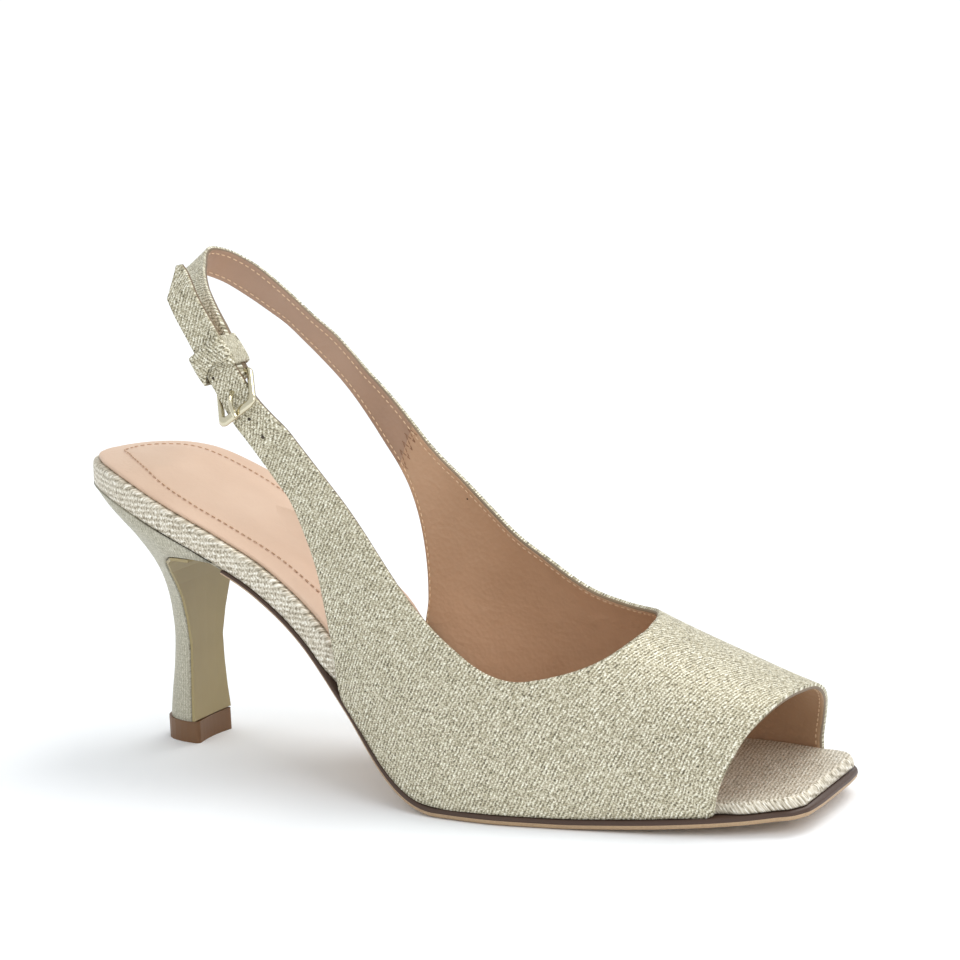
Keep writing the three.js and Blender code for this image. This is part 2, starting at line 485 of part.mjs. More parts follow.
// Direction out of the breast at each row, in the plane of the shoe's length
function breastNormals() {
  const profile = heelRows.map((row) => heelSection(row, { x: 0, z: 0 })[heelRing - 1]);
  return profile.map((point, i) => {
    const next = profile[Math.min(i + 1, profile.length - 1)];
    const previous = profile[Math.max(i - 1, 0)];
    return new THREE.Vector3(next.z - previous.z, 0, previous.x - next.x).normalize();
  });
}

function makeHeel() {
  const normals = breastNormals();
  const depth = coverThickness + clearance;
  const rings = heelRows.map((row, i) => {
    const top = i === heelRows.length - 1;
    const shift = top ? { x: 0, z: 0 } : { x: -normals[i].x * depth, z: -normals[i].z * depth };
    return heelSection(row, shift);
  });
  return loft(rings, facingStrips);
}

function makeBreast() {
  const normals = breastNormals();
  const columns = 5;
  const hollow = 0.6;
  const edgeMargin = 0.25;
  const grids = [0, coverThickness].map((depth) => heelRows.slice(0, -1).map((row, i) => {
    const ring = heelSection(row, { x: 0, z: 0 });
    const outer = ring[heelRing - 1];
    const inner = ring[heelRing];
    const line = [];
    for (let c = 0; c < columns; c += 1) {
      const share = c / (columns - 1);
      const y = mix(outer.y + edgeMargin, inner.y - edgeMargin, share);
      const dip = depth === 0 ? hollow * (1 - (2 * share - 1) ** 2) * coverThickness * 0.5 : 0;
      line.push(new THREE.Vector3(
        outer.x - normals[i].x * (depth + dip), y, outer.z - normals[i].z * (depth + dip)));
    }
    return line;
  }));
  return shell(grids[0], grids[1]);
}

function makeTip() {
  const shape = new THREE.Shape();
  const back = tipFront - tipDepth;
  const corner = tipWidth * 0.07;
  const hollow = tipWidth * 0.1;
  const half = tipWidth / 2;
  const waist = tipFront - tipDepth * 0.62;
  const roundness = half * 0.78;
  shape.moveTo(tipFront, -half + corner);
  shape.quadraticCurveTo(tipFront - hollow, 0, tipFront, half - corner);
  shape.quadraticCurveTo(tipFront, half, tipFront - corner, half);
  shape.bezierCurveTo(waist, half, back, roundness, back, 0);
  shape.bezierCurveTo(back, -roundness, waist, -half, tipFront - corner, -half);
  shape.quadraticCurveTo(tipFront, -half, tipFront, -half + corner);
  return new THREE.ExtrudeGeometry(shape, { depth: tipHeight, bevelEnabled: false, curveSegments: 8 });
}

// The upper's outer face: one line of points for each row, from its lower to its upper edge
const upperColumns = 11;
const strapPoint = (row, end) => new THREE.Vector3(
  alongX(row[`${end}Along`]), row[`${end}Side`] * ankleWidth, row[`${end}Height`] * slingHeight);

function wingLine(row) {
  const line = [];
  for (let c = 0; c < upperColumns; c += 1) {
    const t = c / (upperColumns - 1);
    line.push(lastPoint(mix(row.lowAlong, row.topAlong, t), mix(row.lowGirth, row.topGirth, t)));
  }
  return line;
}

function strapLine(row) {
  const low = strapPoint(row, 'low');
  const top = strapPoint(row, 'top');
  return Array.from({ length: upperColumns }, (_, c) => low.clone().lerp(top, c / (upperColumns - 1)));
}

function makeUpperWall() {
  const outer = [...tipRows.map(strapLine), ...upperRows.map(wingLine), ...slingRows.map(strapLine)];
  const walls = [
    ...tipRows.map((row) => row.wall * strapWall),
    ...upperRows.map(() => upperWall),
    ...slingRows.map((row) => row.wall * strapWall),
  ];
  const inner = outer.map((row, r) => row.map((point, c) => (
    point.clone().addScaledVector(gridNormal(outer, r, c), -walls[r]))));
  const raise = new THREE.Vector3(0, 0, clearance);
  for (const grid of [outer, inner]) for (const row of grid) for (const p of row) p.add(raise);
  return shell(inner, outer);
}

// Buckle, prong and keeper are placed from the middle of the hinge bar, which the sling folds round.
const upStrap = new THREE.Vector3(-0.55, 0, 0.835).normalize();
const across = new THREE.Vector3(0.835, 0, 0.55).normalize();
const outward = new THREE.Vector3(0, -1, 0);
const hingeRow = slingRows[slingRows.length - 2];
const hinge = strapPoint(hingeRow, 'low').lerp(strapPoint(hingeRow, 'top'), 0.5)
  .addScaledVector(outward, -(hingeRow.wall * strapWall) / 2)
  .add(new THREE.Vector3(0, 0, clearance));
const buckleSpan = buckleLength - wireDiameter;
const fromHinge = (sideways, up, out) => hinge.clone()
  .addScaledVector(across, sideways).addScaledVector(upStrap, up).addScaledVector(outward, out);

// The frame's wire, `grow` thicker all round where it clears the straps
function makeFrame(grow = 0) {
  const tilt = THREE.MathUtils.degToRad(frameTilt);
  const place = (sideways, down) => fromHinge(sideways, -down * Math.cos(tilt), down * Math.sin(tilt));
  const half = (buckleWidth - wireDiameter) / 2;
  const side = half - frameCorner;
  const end = buckleSpan - frameCorner;
  const line = (a, b) => new THREE.LineCurve3(place(...a), place(...b));
  const bend = (a, b, c) => new THREE.QuadraticBezierCurve3(place(...a), place(...b), place(...c));
  const path = new THREE.CurvePath();
  path.add(line([0, 0], [side, 0]));
  path.add(bend([side, 0], [half, 0], [half, frameCorner]));
  path.add(line([half, frameCorner], [half, end]));
  path.add(bend([half, end], [half, buckleSpan], [side, buckleSpan]));
  path.add(line([side, buckleSpan], [-side, buckleSpan]));
  path.add(bend([-side, buckleSpan], [-half, buckleSpan], [-half, end]));
  path.add(line([-half, end], [-half, frameCorner]));
  path.add(bend([-half, frameCorner], [-half, 0], [-side, 0]));
  path.add(line([-side, 0], [0, 0]));
  return new THREE.TubeGeometry(path, 64, wireDiameter / 2 + grow, 10, true);
}

// The prong hooks round the hinge bar, comes out through the strap and rests on the front bar.
function makeProng(grow = 0) {
  const tilt = THREE.MathUtils.degToRad(frameTilt);
  const round = (wireDiameter + prongDiameter) / 2 + clearance;
  const reach = buckleSpan * Math.cos(tilt);
  const rise = buckleSpan * Math.sin(tilt) + round;
  const points = [
    fromHinge(0, grow, -round),
    fromHinge(0, -round * 0.8, -round * 0.6),
    fromHinge(0, -round, round * 0.2),
    fromHinge(0, -reach * 0.42, rise * 0.6),
    fromHinge(0, -reach * 0.72, rise * 0.9),
    fromHinge(0, -reach, rise),
    fromHinge(0, -reach - wireDiameter * 0.6 - grow, rise),
  ];
  return rod(points, prongDiameter / 2 + grow, 20);
}

// A round rod along a line of points, closed at both ends
function rod(points, radius, steps) {
  const path = new THREE.CatmullRomCurve3(points);
  const frames = path.computeFrenetFrames(steps, false);
  const sides = 10;
  const rings = frames.normals.map((normal, i) => {
    const centre = path.getPointAt(i / steps);
    return Array.from({ length: sides }, (_, k) => {
      const angle = (k / sides) * 2 * Math.PI;
      return centre.clone().addScaledVector(normal, radius * Math.cos(angle))
        .addScaledVector(frames.binormals[i], radius * Math.sin(angle));
    });
  });
  return loft(rings, facingStrips);
}

// The keeper, a fabric loop round the strap and the sling
function makeKeeper(grow = 0) {
  const half = keeperInside / 2;
  const loopLine = (line, out) => {
    const side = half + out;
    const face = keeperFront + out;
    const back = keeperFront - keeperDepth - out;
    const corner = 1.2 + Math.max(out, 0);
    line.moveTo(-side + corner, back);
    line.lineTo(side - corner, back);
    line.quadraticCurveTo(side, back, side, back + corner);
    line.lineTo(side, face - corner);
    line.quadraticCurveTo(side, face, side - corner, face);
    for (let i = 1; i < 8; i += 1) line.lineTo(mix(side - corner, corner - side, i / 8), face);
    line.lineTo(-side + corner, face);
    line.quadraticCurveTo(-side, face, -side, face - corner);
    line.lineTo(-side, back + corner);
    line.quadraticCurveTo(-side, back, -side + corner, back);
    return line;
  };
  const shape = loopLine(new THREE.Shape(), keeperWall + grow);
  shape.holes.push(loopLine(new THREE.Path(), -grow));
  const length = keeperLength + 2 * grow;
  const geometry = new THREE.ExtrudeGeometry(shape, { depth: length, bevelEnabled: false, curveSegments: 4 });
  const place = geometry.attributes.position;
  for (let i = 0; i < place.count; i += 1) {
    const lower = place.getZ(i) > length / 2 && place.getY(i) > keeperFront / 2;
    const middle = Math.max(0, 1 - (place.getX(i) / half) ** 2);
    if (lower && grow === 0) place.setZ(i, place.getZ(i) - keeperArch * middle);
  }
  const basis = new THREE.Matrix4().makeBasis(across, outward, upStrap.clone().negate());
  basis.setPosition(fromHinge(keeperShift, keeperRise + grow, 0));
  geometry.applyMatrix4(basis);
  return geometry;
}

// The straps clear the frame, the prong and the keeper; the prong's way is its hole.
function makeUpper() {
  const cut = [makeFrame(clearance), makeProng(clearance), makeKeeper(clearance)]
    .reduce((wall, tool) => wall.subtract(solid(tool)), solid(makeUpperWall()));
  const pieces = cut.decompose().sort((a, b) => b.volume() - a.volume());
  return geometryFrom(pieces[0].simplify(smallestEdge));
}

const material = (color, roughness, metalness = 0) => new THREE.MeshStandardMaterial({ color, roughness, metalness });
const fabric = material(0xcdc6aa, 0.75);
const sandal = new THREE.Group();
function add(name, geometry, finish) {
  const mesh = new THREE.Mesh(geometry, finish);
  mesh.name = name;
  sandal.add(mesh);
}

add('outsole', makeOutsole(), material(0x5a3d2c, 0.6));
add('insole', makeInsole(), fabric);
add('sock', makeSock(), material(0xe4c4a8, 0.6));
add('heel', makeHeel(), fabric);
add('heel_breast', makeBreast(), material(0xa5966e, 0.5));
add('heel_tip', makeTip(), material(0x694b2d, 0.6));
add('upper', makeUpper(), fabric);
add('keeper', makeKeeper(), fabric);
const metal = material(0xd9cba4, 0.25, 0.9);
add('buckle_frame', makeFrame(), metal);
add('buckle_prong', makeProng(), metal);

export default sandal;
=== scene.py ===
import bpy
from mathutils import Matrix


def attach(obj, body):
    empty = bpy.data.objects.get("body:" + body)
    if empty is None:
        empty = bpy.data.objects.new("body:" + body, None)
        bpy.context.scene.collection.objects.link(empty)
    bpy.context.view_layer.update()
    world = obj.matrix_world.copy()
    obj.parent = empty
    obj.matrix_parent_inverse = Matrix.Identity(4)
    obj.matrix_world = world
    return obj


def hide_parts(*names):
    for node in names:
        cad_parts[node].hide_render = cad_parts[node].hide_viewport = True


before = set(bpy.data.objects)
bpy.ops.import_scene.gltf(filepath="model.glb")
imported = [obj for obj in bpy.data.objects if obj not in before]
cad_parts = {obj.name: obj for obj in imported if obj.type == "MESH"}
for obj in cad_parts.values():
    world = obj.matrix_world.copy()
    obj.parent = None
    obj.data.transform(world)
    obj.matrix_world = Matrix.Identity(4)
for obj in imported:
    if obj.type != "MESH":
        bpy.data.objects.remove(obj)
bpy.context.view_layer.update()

import bisect
import math

import bpy
import numpy as np
from mathutils import Matrix, Vector

# Floor and studio.
# A sheet of white paper under an even pale sky, lit softly from behind the shoe and by one soft box
# before its toe. The shoe stands on it and throws a soft grey shadow.
MM = 0.001
scene = bpy.context.scene
scene.view_settings.view_transform = "Standard"
scene.view_settings.look = "None"


def material(name, rgb=(0.8, 0.8, 0.8), roughness=0.5, metallic=0.0):
    made = bpy.data.materials.new(name)
    made.use_nodes = True
    shader = made.node_tree.nodes["Principled BSDF"]
    shader.inputs["Base Color"].default_value = (*rgb, 1)
    shader.inputs["Roughness"].default_value = roughness
    shader.inputs["Metallic"].default_value = metallic
    return made, made.node_tree.nodes, made.node_tree.links, shader


def srgb(r, g, b):
    def linear(c):
        c /= 255
        return c / 12.92 if c <= 0.04045 else ((c + 0.055) / 1.055) ** 2.4
    return linear(r), linear(g), linear(b)


def mesh_object(name, points, faces, mats, smooth=True, face_mats=None, uvs=None):
    mesh = bpy.data.meshes.new(name)
    mesh.from_pydata([tuple(p) for p in points], [], faces)
    for one in mats:
        mesh.materials.append(one)
    if face_mats is not None:
        mesh.polygons.foreach_set("material_index", face_mats)
    mesh.polygons.foreach_set("use_smooth", [smooth] * len(mesh.polygons))
    if uvs is not None:
        layer = mesh.uv_layers.new(name="weave")
        for loop in mesh.loops:
            layer.data[loop.index].uv = uvs[loop.vertex_index]
    mesh.update()
    made = bpy.data.objects.new(name, mesh)
    scene.collection.objects.link(made)
    return made


paper, nodes, links, shader = material("white_paper", srgb(250, 252, 255), 0.9)
grain = nodes.new("ShaderNodeTexNoise")
grain.inputs["Scale"].default_value = 900
paper_bump = nodes.new("ShaderNodeBump")
paper_bump.inputs["Strength"].default_value = 0.02
paper_bump.inputs["Distance"].default_value = 0.0002
links.new(grain.outputs["Fac"], paper_bump.inputs["Height"])
links.new(paper_bump.outputs["Normal"], shader.inputs["Normal"])
PAPER_REACH = 40
paper_corners = [(x * PAPER_REACH, y * PAPER_REACH, 0) for x, y in ((-1, -1), (1, -1), (1, 1), (-1, 1))]
floor = mesh_object("paper_floor", paper_corners, [(0, 1, 2, 3)], [paper])

LOW_SKY, HIGH_SKY = 1.09, 0.82
LOW_SKY_END, HIGH_SKY_START = 0.05, 0.16
world = bpy.data.worlds.new("studio")
scene.world = world
world.use_nodes = True
backdrop = world.node_tree.nodes["Background"]
backdrop.inputs["Color"].default_value = (0.965, 0.99, 1, 1)
towards_sky = world.node_tree.nodes.new("ShaderNodeTexCoord")
sky_split = world.node_tree.nodes.new("ShaderNodeSeparateXYZ")
sky_light = world.node_tree.nodes.new("ShaderNodeMapRange")
sky_light.inputs["From Min"].default_value = LOW_SKY_END
sky_light.inputs["From Max"].default_value = HIGH_SKY_START
sky_light.inputs["To Min"].default_value = LOW_SKY
sky_light.inputs["To Max"].default_value = HIGH_SKY
world.node_tree.links.new(towards_sky.outputs["Generated"], sky_split.inputs["Vector"])
world.node_tree.links.new(sky_split.outputs["Z"], sky_light.inputs["Value"])
world.node_tree.links.new(sky_light.outputs["Result"], backdrop.inputs["Strength"])



def aim(lamp, place, target):
    lamp.rotation_euler = (Vector(target) - Vector(place)).to_track_quat("-Z", "Y").to_euler()


BACK_LIGHT_FROM = (0.25, 0.5, 1.0)
lamp_data = bpy.data.lights.new("back_light", "SUN")
lamp_data.energy = 1.25
lamp_data.color = (1, 0.985, 0.96)
lamp_data.angle = math.radians(38)
back_light = bpy.data.objects.new("back_light", lamp_data)
scene.collection.objects.link(back_light)
aim(back_light, BACK_LIGHT_FROM, (0, 0, 0))

FRONT_BOX_PLACE, FRONT_BOX_SIDE, FRONT_BOX_WATTS = (1.1, -0.35, 0.8), 0.7, 4.5
SHOE_MIDDLE = (0.09, 0, 0.05)
box_data = bpy.data.lights.new("front_box", "AREA")
box_data.size = FRONT_BOX_SIDE
box_data.energy = FRONT_BOX_WATTS
front_box = bpy.data.objects.new("front_box", box_data)
scene.collection.objects.link(front_box)
front_box.location = FRONT_BOX_PLACE
aim(front_box, FRONT_BOX_PLACE, SHOE_MIDDLE)

# Camera.
# It looks at the shoe's outer side and toe from a little above the floor, as in the photograph.
CAMERA_PLACE = (0.4268, -0.5785, 0.2082)
CAMERA_RIGHT = Vector((0.8741, 0.4840, -0.0403)).normalized()
CAMERA_AHEAD = Vector((-0.4826, 0.8563, -0.1840)).normalized()
camera_data = bpy.data.cameras.new("camera")
camera_data.sensor_width = 36
camera_data.lens = 91.51
camera = bpy.data.objects.new("camera", camera_data)
scene.collection.objects.link(camera)
camera_up = CAMERA_RIGHT.cross(CAMERA_AHEAD).normalized()
camera.matrix_world = Matrix([
    (CAMERA_RIGHT[i], camera_up[i], -CAMERA_AHEAD[i], CAMERA_PLACE[i]) for i in range(3)] + [(0, 0, 0, 1)])
scene.camera = camera

# Last.
# The form that the shoe is built on: its outline, heel rise, toe spring and side walls. Every size is
# in millimetres. The table's widths are shares of the ball's width, its crown of the instep's height.
LENGTH, OVERHANG = 232, 29.1
BALL, INSTEP = 75, 72.8
HEEL, SPRING = 78.4, 4.3
SOLE = 2.7
GAP = 0.3
LAST_COLUMNS = ("along", "outer", "inner", "seat", "toe", "crown", "outer_swell", "inner_swell", "full")
LAST = (
    (0.000, 0.000, 0.000, 1.000, 0.00, 1.640, 0.000, 0.000, 0.80),
    (0.034, 0.207, 0.253, 0.997, 0.00, 1.640, 0.000, 0.000, 0.80),
    (0.069, 0.293, 0.333, 0.984, 0.00, 1.640, 0.010, 0.000, 0.80),
    (0.103, 0.348, 0.368, 0.958, 0.00, 1.620, 0.030, 0.000, 0.80),
    (0.172, 0.383, 0.387, 0.873, 0.00, 1.580, 0.040, 0.000, 0.80),
    (0.241, 0.387, 0.365, 0.783, 0.00, 1.530, 0.053, 0.013, 0.80),
    (0.310, 0.388, 0.323, 0.676, 0.00, 1.450, 0.060, 0.053, 0.80),
    (0.379, 0.407, 0.289, 0.518, 0.00, 1.340, 0.053, 0.093, 0.80),
    (0.448, 0.459, 0.288, 0.301, 0.00, 1.230, 0.033, 0.107, 0.80),
    (0.517, 0.531, 0.325, 0.086, 0.00, 1.150, 0.000, 0.080, 0.82),
    (0.552, 0.556, 0.357, 0.020, 0.00, 1.080, -0.010, 0.060, 0.84),
    (0.586, 0.569, 0.393, 0.000, 0.00, 1.000, -0.013, 0.040, 0.85),
    (0.655, 0.561, 0.457, 0.000, 0.00, 0.820, -0.013, 0.013, 0.86),
    (0.724, 0.519, 0.491, 0.000, 0.00, 0.705, 0.000, 0.000, 0.86),
    (0.793, 0.473, 0.493, 0.000, 0.14, 0.595, 0.007, 0.000, 0.84),
    (0.862, 0.423, 0.469, 0.000, 0.38, 0.496, 0.013, 0.000, 0.80),
    (0.931, 0.347, 0.403, 0.000, 0.65, 0.407, 0.020, 0.000, 0.76),
    (0.966, 0.289, 0.345, 0.000, 0.82, 0.370, 0.027, 0.000, 0.74),
    (0.992, 0.229, 0.279, 0.000, 0.95, 0.345, 0.027, 0.000, 0.70),
    (0.998, 0.175, 0.225, 0.000, 0.99, 0.340, 0.027, 0.000, 0.70),
    (1.000, 0.100, 0.150, 0.000, 1.00, 0.340, 0.027, 0.000, 0.70))


def mix(a, b, t):
    return a + (b - a) * t


def smoothstep(a, b, value):
    t = min(1, max(0, (value - a) / (b - a)))
    return t * t * (3 - 2 * t)


def between(keys, values, key):
    i = min(max(bisect.bisect_left(keys, key) - 1, 0), len(keys) - 2)
    span = keys[i + 1] - keys[i]
    t = (key - keys[i]) / span
    slopes = [(values[k + 1] - values[k]) / (keys[k + 1] - keys[k])
              for k in range(max(i - 1, 0), min(i + 2, len(keys) - 1))]
    here = slopes[1] if i > 0 else slopes[0]
    meet = lambda one, two: (one + two) / 2 if one * two > 0 else 0
    before = meet(slopes[0], here) if i > 0 else here
    after = meet(here, slopes[-1]) if i < len(keys) - 2 else here
    a, b = values[i], values[i + 1]
    return a + (b - a) * t * t * (3 - 2 * t) + span * t * (1 - t) * (before * (1 - t) - after * t)


LAST_KEYS = [math.sqrt(row[0]) for row in LAST]
LAST_VALUES = {name: [row[i] for row in LAST] for i, name in enumerate(LAST_COLUMNS)}


def last(column, along):
    return between(LAST_KEYS, LAST_VALUES[column], math.sqrt(min(max(along, 0), 1)))


def feather(along):
    return SOLE + (HEEL - SOLE) * last("seat", along) + SPRING * last("toe", along)


def last_point(along, girth):
    angle = (1 - abs(girth)) * math.pi / 2
    side = "outer" if girth < 0 else "inner"
    swell = last(side + "_swell", along) * math.sin(min(angle * 1.6, math.pi / 2))
    half = (last(side, along) + swell) * BALL * max(math.cos(angle), 0) ** last("full", along)
    rise = last("crown", along) * INSTEP * math.sin(angle)
    return Vector((along * LENGTH - OVERHANG, math.copysign(half, girth), feather(along) + rise))


def outline(start, end, steps):
    """Both sides of the last seen from above, each place with the direction out of it."""
    places = []
    shares = [mix((1 - math.cos(math.pi * i / steps)) / 2, i / steps, 0.15) for i in range(steps + 1)]
    for side, sign in (("outer", -1), ("inner", 1)):
        line = []
        for share in shares:
            along = mix(max(start, 0.0004), end, share)
            line.append((along, along * LENGTH - OVERHANG, sign * last(side, along) * BALL))
        if side == "inner":
            line.reverse()
        places += [(side, *place) for place in line]
    made = []
    for i, (side, along, x, y) in enumerate(places):
        ahead_of = places[min(i + 1, len(places) - 1)] if i != steps else places[i]
        behind = places[max(i - 1, 0)] if i != steps + 1 else places[i]
        dx, dy = ahead_of[2] - behind[2], ahead_of[3] - behind[3]
        length = math.hypot(dx, dy) or 1
        made.append((side, along, x, y, dy / length, -dx / length))
    return made


def level(places, inset, lift):
    """A loop at some distance in from the outline and over the feather edge, square to the seat."""
    ring = []
    for side, along, x, y, nx, ny in places:
        low, high = max(along - 0.002, 0.0001), min(along + 0.002, 1)
        rise, run = feather(high) - feather(low), (high - low) * LENGTH
        tilt = math.hypot(rise, run)
        inward, up = inset(along, side), lift(along, side)
        back, high_up = up * rise / tilt, up * run / tilt
        ring.append(Vector((x - nx * inward - back, y - ny * inward, feather(along) + high_up)))
    return ring


def loft(rings, uv_of=None):
    """Closed body from level loops; its ends are strips between facing places."""
    count = len(rings[0])
    points = [p * MM for ring in rings for p in ring]
    faces, bands = [], []
    for r in range(len(rings) - 1):
        for i in range(count):
            a, b = r * count + i, r * count + (i + 1) % count
            faces.append((a, b, b + count, a + count))
            bands.append(r)
    end = (len(rings) - 1) * count
    for i in range(count // 2 - 1):
        a, b, c, d = i, i + 1, count - 2 - i, count - 1 - i
        faces.append((a, d, c, b) if b != c else (a, d, b))
        bands.append(-1)
        faces.append((end + a, end + b, end + c, end + d) if b != c else (end + a, end + b, end + d))
        bands.append(len(rings) - 1)
    uvs = [uv_of(p / MM) for p in points] if uv_of else None
    return points, faces, bands, uvs


# Outsole.
# A thin leather sole, cut to the last's outline and cemented under the insole. Its top edge is
# stained dark brown and its lower edge is skived back and left pale.
edge_brown, nodes, links, shader = material("stained_edge", srgb(62, 40, 30), 0.45)
edge_noise = nodes.new("ShaderNodeTexNoise")
edge_noise.inputs["Scale"].default_value = 700
edge_ramp = nodes.new("ShaderNodeValToRGB")
edge_ramp.color_ramp.elements[0].color = (*srgb(44, 28, 20), 1)
edge_ramp.color_ramp.elements[1].color = (*srgb(84, 58, 42), 1)
links.new(edge_noise.outputs["Fac"], edge_ramp.inputs["Fac"])
links.new(edge_ramp.outputs["Color"], shader.inputs["Base Color"])

sole_leather, nodes, links, shader = material("sole_leather", srgb(176, 146, 112), 0.5)
sole_noise = nodes.new("ShaderNodeTexNoise")
sole_noise.inputs["Scale"].default_value = 260
sole_noise.inputs["Detail"].default_value = 6
sole_ramp = nodes.new("ShaderNodeValToRGB")
sole_ramp.color_ramp.elements[0].color = (*srgb(150, 120, 88), 1)
sole_ramp.color_ramp.elements[1].color = (*srgb(200, 172, 138), 1)
sole_bump = nodes.new("ShaderNodeBump")
sole_bump.inputs["Strength"].default_value = 0.15
sole_bump.inputs["Distance"].default_value = 0.0002
links.new(sole_noise.outputs["Fac"], sole_ramp.inputs["Fac"])
links.new(sole_ramp.outputs["Color"], shader.inputs["Base Color"])
links.new(sole_noise.outputs["Fac"], sole_bump.inputs["Height"])
links.new(sole_bump.outputs["Normal"], shader.inputs["Normal"])

HEEL_SEAT, SHANK, SOLE_MARGIN = 61, 1.6, 0.8
places = outline((HEEL_SEAT + GAP) / LENGTH, 1, 150)
margin = lambda along: SOLE_MARGIN * mix(0.3, 1, smoothstep(0.55, 0.9, along))
thick = lambda along: mix(SHANK, SOLE, smoothstep(0.46, 0.585, along))
# Steps up the sole's side: how far in from its edge, and height as a share of its thickness
sole_steps = ((1.5, -1.0), (0.9, -0.93), (0.35, -0.78), (0.06, -0.44), (0.0, -0.36),
              (0.04, -0.16), (0.2, 0.0))
STAINED_FROM = 3
rings = []
for inset, rise in sole_steps:
    rings.append(level(places, lambda a, s, i=inset: i - margin(a), lambda a, s, r=rise: r * thick(a)))
points, faces, bands, _ = loft(rings)
outsole = mesh_object("leather_outsole", points, faces, [sole_leather, edge_brown],
                      face_mats=[1 if band >= STAINED_FROM else 0 for band in bands])
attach(outsole, "root")
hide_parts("outsole")

# Insole.
# A board with a steel shank, covered and wrapped at its edge with the upper's fabric before lasting;
# deep at the seat, thin under the toes. The cloth is a ribbed weave with a fine metal yarn. It is given
# lighter yarn colours here than on the upper: painted light for the light falling on the insole.
RIB_TONE, PICK_TONE, YARN_TONE, FLECK_TONE = 0.13, 0.09, 1.35, 0.26
PICK_PITCH, PICK_LAG = 0.8, 1.4
WANDER = 0.9


def fabric(name, pitch, lean, dark=(78, 72, 54), mid=(188, 179, 151), light=(254, 252, 238),
           depth=1.0):
    """Cloth: the rib's pitch in millimetres and its lean in degrees, yarn colours, depth of contrast."""
    made, nodes, links, shader = material(name)

    def math_node(kind, one, two=None):
        node = nodes.new("ShaderNodeMath")
        node.operation = kind
        for socket, value in zip(node.inputs, (one, two)):
            if value is None:
                continue
            if isinstance(value, (int, float)):
                socket.default_value = value
            else:
                links.new(value, socket)
        return node.outputs[0]

    def about_zero(value, reach):
        return math_node("MULTIPLY", math_node("SUBTRACT", value, 0.5), reach)

    uv = nodes.new("ShaderNodeUVMap")
    uv.uv_map = "weave"
    split = nodes.new("ShaderNodeSeparateXYZ")
    wander = nodes.new("ShaderNodeTexNoise")
    wander.inputs["Scale"].default_value = 0.35
    wander.inputs["Detail"].default_value = 3
    links.new(uv.outputs["UV"], wander.inputs["Vector"])
    links.new(uv.outputs["UV"], split.inputs["Vector"])
    ripple = nodes.new("ShaderNodeTexNoise")
    ripple.inputs["Scale"].default_value = 1.1
    links.new(uv.outputs["UV"], ripple.inputs["Vector"])
    shift = math_node("ADD", about_zero(wander.outputs["Fac"], WANDER),
                      about_zero(ripple.outputs["Fac"], WANDER))
    c, s = math.cos(math.radians(lean)), math.sin(math.radians(lean))
    across = math_node("ADD", math_node("MULTIPLY", split.outputs["X"], c),
                       math_node("MULTIPLY", split.outputs["Y"], s))
    up = math_node("SUBTRACT", math_node("MULTIPLY", split.outputs["Y"], c),
                   math_node("MULTIPLY", split.outputs["X"], s))
    rib = math_node("SINE", math_node("MULTIPLY", math_node("ADD", across, shift), 2 * math.pi / pitch))
    pick_turn = math_node("MULTIPLY", math_node("ADD", up, shift), 2 * math.pi / (pitch * PICK_PITCH))
    pick = math_node("SINE", math_node("ADD", pick_turn, math_node("MULTIPLY", rib, PICK_LAG)))
    yarn = nodes.new("ShaderNodeTexNoise")
    yarn.inputs["Scale"].default_value = 1.25
    yarn.inputs["Detail"].default_value = 5
    yarn.inputs["Roughness"].default_value = 0.75
    stretch = nodes.new("ShaderNodeCombineXYZ")
    links.new(math_node("MULTIPLY", across, 1.6), stretch.inputs["X"])
    links.new(math_node("MULTIPLY", up, 0.75), stretch.inputs["Y"])
    links.new(stretch.outputs["Vector"], yarn.inputs["Vector"])
    flecks = nodes.new("ShaderNodeTexVoronoi")
    flecks.inputs["Scale"].default_value = 1.9
    links.new(uv.outputs["UV"], flecks.inputs["Vector"])
    fleck_split = nodes.new("ShaderNodeSeparateColor")
    links.new(flecks.outputs["Color"], fleck_split.inputs["Color"])
    weave = math_node("ADD", math_node("MULTIPLY", rib, RIB_TONE * depth),
                      math_node("MULTIPLY", pick, PICK_TONE * depth))
    yarn_part = about_zero(yarn.outputs["Fac"], YARN_TONE * depth)
    fleck_part = about_zero(fleck_split.outputs[0], FLECK_TONE * depth)
    tone = math_node("ADD", math_node("ADD", weave, 0.5), math_node("ADD", yarn_part, fleck_part))
    ramp = nodes.new("ShaderNodeValToRGB")
    ramp.color_ramp.elements[0].position = 0.16
    ramp.color_ramp.elements[0].color = (*srgb(*dark), 1)
    ramp.color_ramp.elements[1].position = 0.86
    ramp.color_ramp.elements[1].color = (*srgb(*light), 1)
    middle = ramp.color_ramp.elements.new(0.5)
    middle.color = (*srgb(*mid), 1)
    links.new(tone, ramp.inputs["Fac"])
    links.new(ramp.outputs["Color"], shader.inputs["Base Color"])
    spark = math_node("GREATER_THAN", fleck_split.outputs[1], 0.86)
    links.new(math_node("ADD", math_node("MULTIPLY", spark, 0.35), 0.25), shader.inputs["Metallic"])
    links.new(math_node("SUBTRACT", 0.58, math_node("MULTIPLY", spark, 0.22)), shader.inputs["Roughness"])
    bump = nodes.new("ShaderNodeBump")
    bump.inputs["Strength"].default_value = 0.55
    bump.inputs["Distance"].default_value = 0.00022
    links.new(tone, bump.inputs["Height"])
    links.new(bump.outputs["Normal"], shader.inputs["Normal"])
    return made


